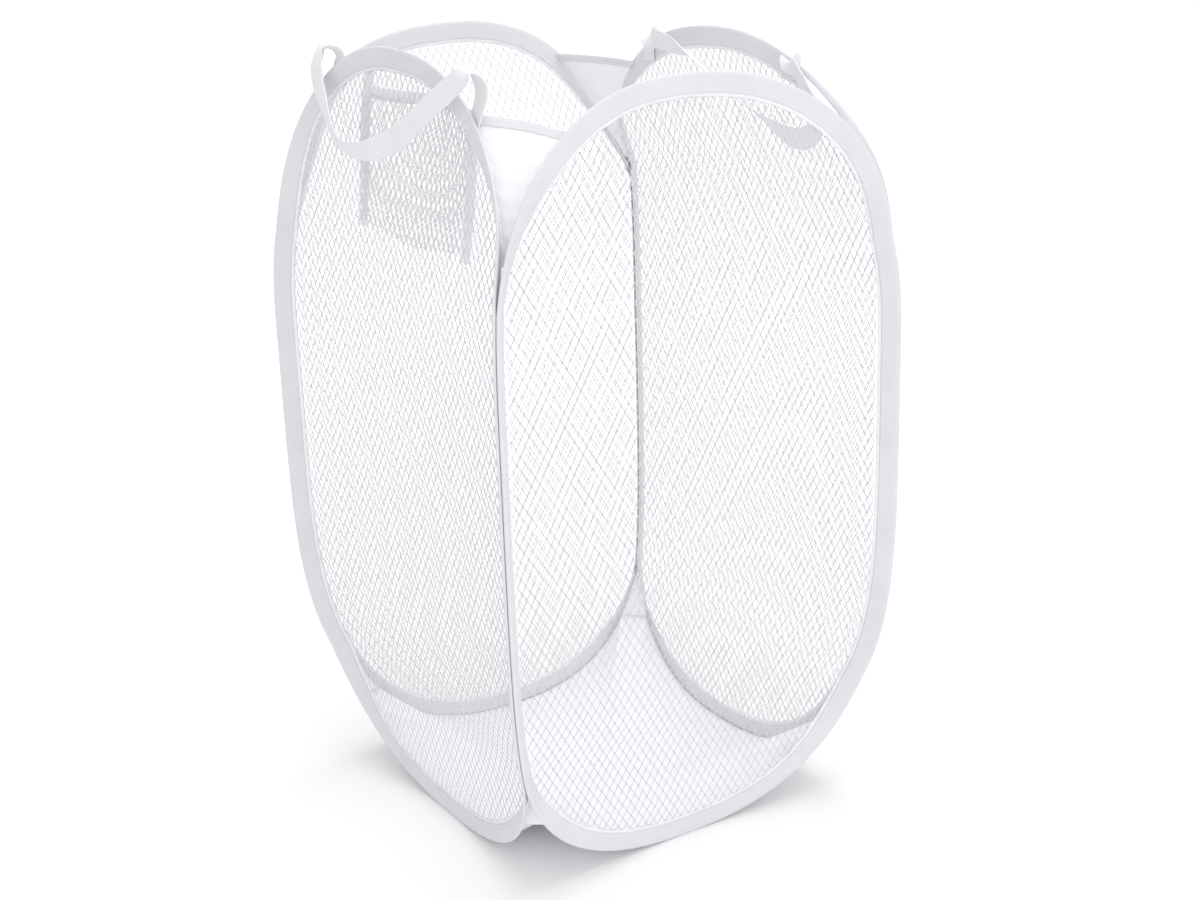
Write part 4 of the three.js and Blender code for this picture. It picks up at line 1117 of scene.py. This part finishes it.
def strap_seat(along, side):
    """Where a strap end is sewn to the tape: its place, its way up, its widthwise way and the way
    in, in the hamper's frame."""
    tape = tape_frame(angle_at_along(along * MM), side)
    point = in_tape(tape, TAPE_WIDTH / 2, TAPE_HALF + SEWN_GAP + STRAP_THICK / 2)
    inner = tape[2]
    rise = unit(np.array([0, 0, 1.0]) - inner * inner[2])
    ways = np.stack([point, rise, unit(np.cross(rise, inner)), inner])
    return quarter_turned(ways, SIDES.index(side))


def strap_piece(name, side, seats, route, nodes):
    """One handle: up from its first sewn end, along its route and down to the other sewn end. The
    seats are the ends' places along the tape in mm."""
    ends = [strap_seat(along, side) for along in seats]
    sewn = [np.array([point - SEWN_LENGTH * rise, point]) for point, rise, _, _ in ends]
    loop, across = route[:, :3] * MM, unit(route[:, 3:])
    flats = [
        flat * math.copysign(1, flat @ near)
        for (_, _, flat, _), near in zip(ends, across[[0, -1]])
    ]
    places = np.concatenate([sewn[0], loop, sewn[1][::-1]])
    across = np.concatenate([[flats[0]] * 2, across, [flats[1]] * 2])
    path = smooth_path(np.concatenate([places, across * MM], axis=1), STRAP_STATIONS)
    rings, faces, uv = ribbon(path[:, :3], path[:, 3:], STRAP_SIDEWAYS, STRAP_LIFTS)
    strap = make_piece(name, rings, faces, STRAP_FINISH, uv)
    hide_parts(*nodes)
    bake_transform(strap)

    rows = []
    for point, rise, flat, inner in ends:
        box = np.array([point + flat * a * MM + rise * b * MM for a, b in SEWN_BOX])
        box = box + inner * (STRAP_THICK / 2 + 0.05 * MM)
        length = running_length(box)
        marks = np.linspace(0, length[-1], BOX_MARKS)
        line = np.stack([np.interp(marks, length, box[:, k]) for k in range(3)], axis=-1)
        rows.append(stitches(line, np.tile(inner, (BOX_MARKS, 1)), BOX_PITCH, BOX_STITCH))
    points, faces, uv = joined(rows)
    seam = make_piece(
        name + "_stitching", points, faces, THREAD_FINISH, uv, outward=False
    )
    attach(seam, PANEL_BODY[side])


# Each handle's route: places in mm, each with the way across the strap there
LEFT_ROUTE = np.array([
    (-140, -110, 601, 0, 1, 0), (-142, -110, 610, 0, 1, 0), (-147, -108, 615, 0.1, 1, 0.1),
    (-152, -103, 611, 0, 0.8, 0.5), (-155, -93, 604, 0, 0.6, 0.8),
    (-158, -80, 595, -0.05, 0.55, 0.84), (-162, -63, 583, 0, 0.57, 0.82),
    (-166, -43, 569, -0.11, 0.49, 0.86), (-170, -19, 557, -0.3, 0.29, 0.91),
    (-172, 15, 548, -0.51, 0.12, 0.85), (-172, 41, 547, -0.5, -0.09, 0.86),
    (-169, 66, 555, -0.26, -0.41, 0.87), (-162, 94, 574, 0, -0.57, 0.82),
    (-157, 112, 588, 0.1, -0.85, 0.5), (-154, 118, 601, 0, -1, 0.2), (-148, 114, 611, 0, -1, 0),
    (-142, 105, 607, 0, -1, 0),
])  # fmt: skip
RIGHT_ROUTE = np.array([
    (130, 83, 591, -0.1, -1, 0), (128, 80, 596, -0.2, -1, 0), (124, 73, 598, -0.2, -0.9, 0.2),
    (120, 60, 598, -0.2, -0.7, 0.5), (118, 44, 597, -0.3, -0.5, 0.8),
    (117, 27, 595, -0.5, -0.3, 0.8), (117, 11, 592, -0.8, -0.15, 0.5),
    (116, -4, 587, -0.91, -0.11, 0.4),
    (115, -38, 572, -0.9, -0.16, 0.41), (115, -63, 562, -0.92, -0.12, 0.37),
    (114, -87, 553, -0.75, -0.05, 0.66), (114, -108, 546, -0.45, 0, 0.9),
    (114, -127, 542, -0.2, 0, 1), (114, -143, 544, -0.15, 0.3, 1), (114, -153, 552, -0.1, 0.9, 0.4),
    (116, -148, 565, 0.2, 1, 0), (120, -132, 579, 0.3, 0.95, 0), (125, -115, 591, 0.4, 0.9, 0),
    (129.5, -104, 594, 0.2, 1, 0),
])  # fmt: skip


# Pocket: a double net that stands off the left panel, with tapes down its sides and on its mouth

POCKET_FRONT = 106 * MM
POCKET_BACK = 62 * MM
POCKET_MOUTH = 588 * MM
POCKET_DEPTH = 97 * MM
POCKET_TAPE = 9.5 * MM
POCKET_THREAD = 0.32 * MM
POCKET_SEAT = 1.7 * MM
POCKET_SWELL = 15 * MM
# The share of the pocket's depth, from its bottom, at which the swell is full
POCKET_FULL = 0.7
POCKET_SAG = 9 * MM
POCKET_SIDE = SIDES.index("left")
POCKET_SIDEWAYS = np.array([-1, -0.96, -0.86, 0, 0.86, 0.96, 1]) * (POCKET_TAPE / 2)
POCKET_LIFTS = np.array([0.1, 0.36, 0.5, 0.42, 0.5, 0.36, 0.1])
SIDE_TAPE_THICK = 1.0 * MM
MOUTH_TAPE_THICK = 1.2 * MM
LAYER_GAP = 0.8 * MM
# The widthwise way of the side tapes: along the panel, turned partly into the hamper
SIDE_TAPE_WAY = np.array([0.9, 0.42, 0])


class PocketSurface:
    """The pocket stands off the panel's net by a seat and by a swell, which is a half sine from one
    side tape to the other times an S curve up towards the mouth."""

    def __init__(self, panel):
        self.panel = panel

    @staticmethod
    def share(along):
        """0 at the back of the pocket and 1 at its front."""
        return np.clip((along + POCKET_BACK) / (POCKET_FRONT + POCKET_BACK), 0, 1)

    def __call__(self, along, height):
        """Points of the pocket's inner layer."""
        upward = (height - POCKET_MOUTH + POCKET_DEPTH) / POCKET_DEPTH
        swell = POCKET_SWELL * np.sin(math.pi * self.share(along)) * smooth(upward / POCKET_FULL)
        points = self.panel(along, height)
        points[..., 1] += POCKET_SEAT + swell
        return points

    def limits(self, along):
        """The bottom sags in a shallow curve and the net ends inside the mouth tape."""
        low = POCKET_MOUTH - POCKET_DEPTH - POCKET_SAG * np.sin(math.pi * self.share(along))
        return low, np.full_like(along, POCKET_MOUTH - 6 * MM)


def pocket_pieces():
    """The pocket's net in two layers, its two side tapes and the tape along its mouth."""
    surface = PocketSurface(NetSurface("left"))
    first, last = -POCKET_BACK + POCKET_TAPE / 2, POCKET_FRONT - POCKET_TAPE / 2
    count = int((last - first) / NET_PITCH)
    columns = first + np.arange(count + 1) * (last - first) / count
    layers = []
    for shift, back in ((0, 0), (NET_PITCH / 2, LAYER_GAP)):
        place = (columns + shift)[: count + 1 - (shift > 0)]

        def layer(along, height, back=back):
            """One layer of the net, set back from the pocket's surface."""
            points = surface(along, height)
            points[..., 1] -= back
            return points

        points, faces = knitted(
            layer, place, surface.limits, phase=2 * MM + shift, thread=POCKET_THREAD
        )
        layers.append((points, faces))
    (front_points, front_faces), (back_points, back_faces) = layers
    points = quarter_turned(np.concatenate([front_points, back_points]), POCKET_SIDE)
    faces = np.concatenate([front_faces, back_faces + len(front_points)])
    net = make_piece("pocket_mesh", points, faces, POCKET_NET_FINISH, outward=False)
    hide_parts("pocket_net")
    pieces = [net]

    for name, along, node in (
        ("pocket_tape_front", last, "pocket_side_tape_front"),
        ("pocket_tape_back", first, "pocket_side_tape_back"),
    ):
        heights = np.linspace(POCKET_MOUTH - POCKET_DEPTH - 7 * MM, POCKET_MOUTH - 3 * MM, 60)
        path = surface(np.full_like(heights, along), heights)
        path[:, 0] += 0.5 * MM * np.sin(heights / (13 * MM))
        tape = tape_frame(angle_at_along(along), "left")
        depths = np.array([14, 8, 3]) * MM
        upper = in_tape([part[None] for part in tape], depths, [TAPE_HALF + 0.6 * MM])
        path = smooth_path(np.concatenate([path[::6], upper]), 110)
        across = np.tile(SIDE_TAPE_WAY, (len(path), 1))
        rings, faces, uv = ribbon(path, across, POCKET_SIDEWAYS, POCKET_LIFTS * SIDE_TAPE_THICK)
        rings = quarter_turned(rings, POCKET_SIDE)
        piece = make_piece(name, rings, faces, POCKET_TAPE_FINISH, uv)
        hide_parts(node)
        pieces.append(piece)

    alongs = np.linspace(first - 1 * MM, last + 1 * MM, 90)
    path = surface(alongs, np.full_like(alongs, POCKET_MOUTH - POCKET_TAPE / 2))
    path[:, 2] += 0.8 * MM * np.sin(alongs / (17 * MM))
    path[:, 1] += 0.5 * MM
    across = np.tile(np.array([0, 0, 1.0]), (len(path), 1))
    rings, faces, uv = ribbon(path, across, POCKET_SIDEWAYS, POCKET_LIFTS * MOUTH_TAPE_THICK)
    rings = quarter_turned(rings, POCKET_SIDE)
    mouth = make_piece("pocket_mouth_band", rings, faces, POCKET_TAPE_FINISH, uv)
    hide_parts("pocket_mouth_tape")
    pieces.append(mouth)
    for piece in pieces:
        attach(piece, "left_panel")
    return net, pieces[1:]


# The hamper

nets = [panel_pieces(quarters, side) for quarters, side in enumerate(SIDES)]
for quarters in range(4):
    corner_pieces(quarters)
base_pieces()
strap_piece(
    "left_handle_strap",
    "left",
    (109, -100),
    LEFT_ROUTE,
    ["strap_loop_left", "strap_end_left_front", "strap_end_left_back"],
)
strap_piece(
    "right_handle_strap",
    "right",
    (84, -100),
    RIGHT_ROUTE,
    ["strap_loop_right", "strap_end_right_back", "strap_end_right_front"],
)
pocket_net, pocket_tapes = pocket_pieces()


# Floor, light and camera

FLOOR_HALF = 7
FLOOR_LIT = (0.9, 0.9, 0.91, 1)
FLOOR_SEEN = (0.96, 0.96, 0.96, 1)
# The camera's white glow on the floor, and the distances from the object: within the first it is
# nothing, which leaves painted shade there, and at the second it is full
FLOOR_GLOW = 0.24
PAINTED_SHADE_FULL_TO = 0.2
PAINTED_SHADE_GONE_AT = 1.6
WORLD_LIGHT = 0.83
WHITE = (1, 1, 1, 1)


def seen_rays(tree):
    """1 for a ray from the camera, off gloss or through glass, and 0 for one that only lights."""
    rays = add_node(tree, "ShaderNodeLightPath")
    seen = maths(tree, "MAXIMUM", rays.outputs["Is Camera Ray"], rays.outputs["Is Glossy Ray"])
    return maths(tree, "MAXIMUM", seen, rays.outputs["Is Transmission Ray"])


def floor_finish():
    """A pale floor that keeps the object's shadow. The camera, gloss and glass see it paler, and
    lifted by a white glow that grows from nothing near the object to full 1.6 m away, so the
    unlifted floor round the object is painted shade."""
    material = bpy.data.materials.new("pale floor")
    material.use_nodes = True
    tree = material.node_tree
    shader = tree.nodes["Principled BSDF"]
    shader.inputs["Roughness"].default_value = 0.9
    shader.inputs["Specular IOR Level"].default_value = 0.1
    seen = seen_rays(tree)
    colour = mixed_colour(tree, seen, FLOOR_LIT, FLOOR_SEEN)
    tree.links.new(colour, shader.inputs["Base Color"])
    place = add_node(tree, "ShaderNodeTexCoord")
    away = add_node(tree, "ShaderNodeVectorMath", {0: place.outputs["Object"]}, operation="LENGTH")
    # Painted shade: the glow grows from nothing near the object to full far off, so the floor round
    # the object is left darker
    painted_shade_ease = add_node(
        tree,
        "ShaderNodeMapRange",
        {
            "Value": away.outputs["Value"],
            "From Min": PAINTED_SHADE_FULL_TO,
            "From Max": PAINTED_SHADE_GONE_AT,
            "To Max": FLOOR_GLOW,
        },
        interpolation_type="SMOOTHSTEP",
    )
    glow = maths(tree, "MULTIPLY", seen, painted_shade_ease.outputs["Result"])
    tree.links.new(glow, shader.inputs["Emission Strength"])
    shader.inputs["Emission Color"].default_value = WHITE
    return material


def world_light():
    """Even soft light all round, and plain white where the camera, gloss and glass look past the
    floor."""
    world = bpy.data.worlds.new("studio")
    world.use_nodes = True
    tree = world.node_tree
    background = tree.nodes["Background"]
    lift = maths(tree, "MULTIPLY", seen_rays(tree), 1.0 - WORLD_LIGHT)
    tree.links.new(maths(tree, "ADD", lift, WORLD_LIGHT), background.inputs["Strength"])
    background.inputs["Color"].default_value = WHITE
    bpy.context.scene.world = world


def placed(name, data, right, up, back, place):
    """A lamp or camera in the scene, which looks away from its back."""
    made = bpy.data.objects.new(name, data)
    bpy.context.scene.collection.objects.link(made)
    matrix = np.eye(4)
    matrix[:3, 0], matrix[:3, 1], matrix[:3, 2], matrix[:3, 3] = right, up, back, place
    made.matrix_world = Matrix(matrix.tolist())
    return made


def softbox(name, place, target, size, power):
    """A square area lamp that faces a target."""
    lamp = bpy.data.lights.new(name, "AREA")
    lamp.shape = "SQUARE"
    lamp.size = size
    lamp.energy = power
    back = unit(np.array(place) - np.array(target))
    right = unit(np.cross([0, 0, 1.0], back))
    placed(name, lamp, right, np.cross(back, right), back, place)


# The photograph's camera, fitted to the outlines of the four loops: radians, and pixels of the
# photograph's width and focal length
CAMERA_PLACE = (-0.7946, -1.264, 0.8019)
CAMERA_YAW = -0.5706
CAMERA_PITCH = -0.3331
CAMERA_ROLL = -0.03086
PHOTO_WIDTH = 1200
PHOTO_FOCAL = 1953
SENSOR_WIDTH = 36.0


def photo_camera():
    """The photograph's camera: place, turn, lens and no shift."""
    yaw, pitch, roll = CAMERA_YAW, CAMERA_PITCH, CAMERA_ROLL
    forward = np.array(
        [-math.sin(yaw) * math.cos(pitch), math.cos(yaw) * math.cos(pitch), math.sin(pitch)]
    )
    right = np.array([math.cos(yaw), math.sin(yaw), 0])
    up = np.cross(right, forward)
    turned_right = right * math.cos(roll) + up * math.sin(roll)
    turned_up = up * math.cos(roll) - right * math.sin(roll)
    data = bpy.data.cameras.new("camera")
    data.sensor_width = SENSOR_WIDTH
    data.lens = SENSOR_WIDTH * PHOTO_FOCAL / PHOTO_WIDTH
    data.clip_end = 50
    camera = placed("camera", data, turned_right, turned_up, -forward, CAMERA_PLACE)
    bpy.context.scene.camera = camera


floor_corners = np.array([[-1, -1, 0], [1, -1, 0], [1, 1, 0], [-1, 1, 0]]) * float(FLOOR_HALF)
floor_face = np.array([[0, 1, 2, 3]])
floor = make_piece("floor", floor_corners, floor_face, floor_finish(), outward=False)
world_light()
softbox("key_light", (-0.6, -3.0, 0.9), (0, 0, 0.2), 2.4, 24)
softbox("top_light", (0.4, 0.1, 2.8), (0, 0, 0.3), 2.0, 28)
photo_camera()
bpy.context.scene.view_settings.view_transform = "Standard"

bpy.context.view_layer.update()
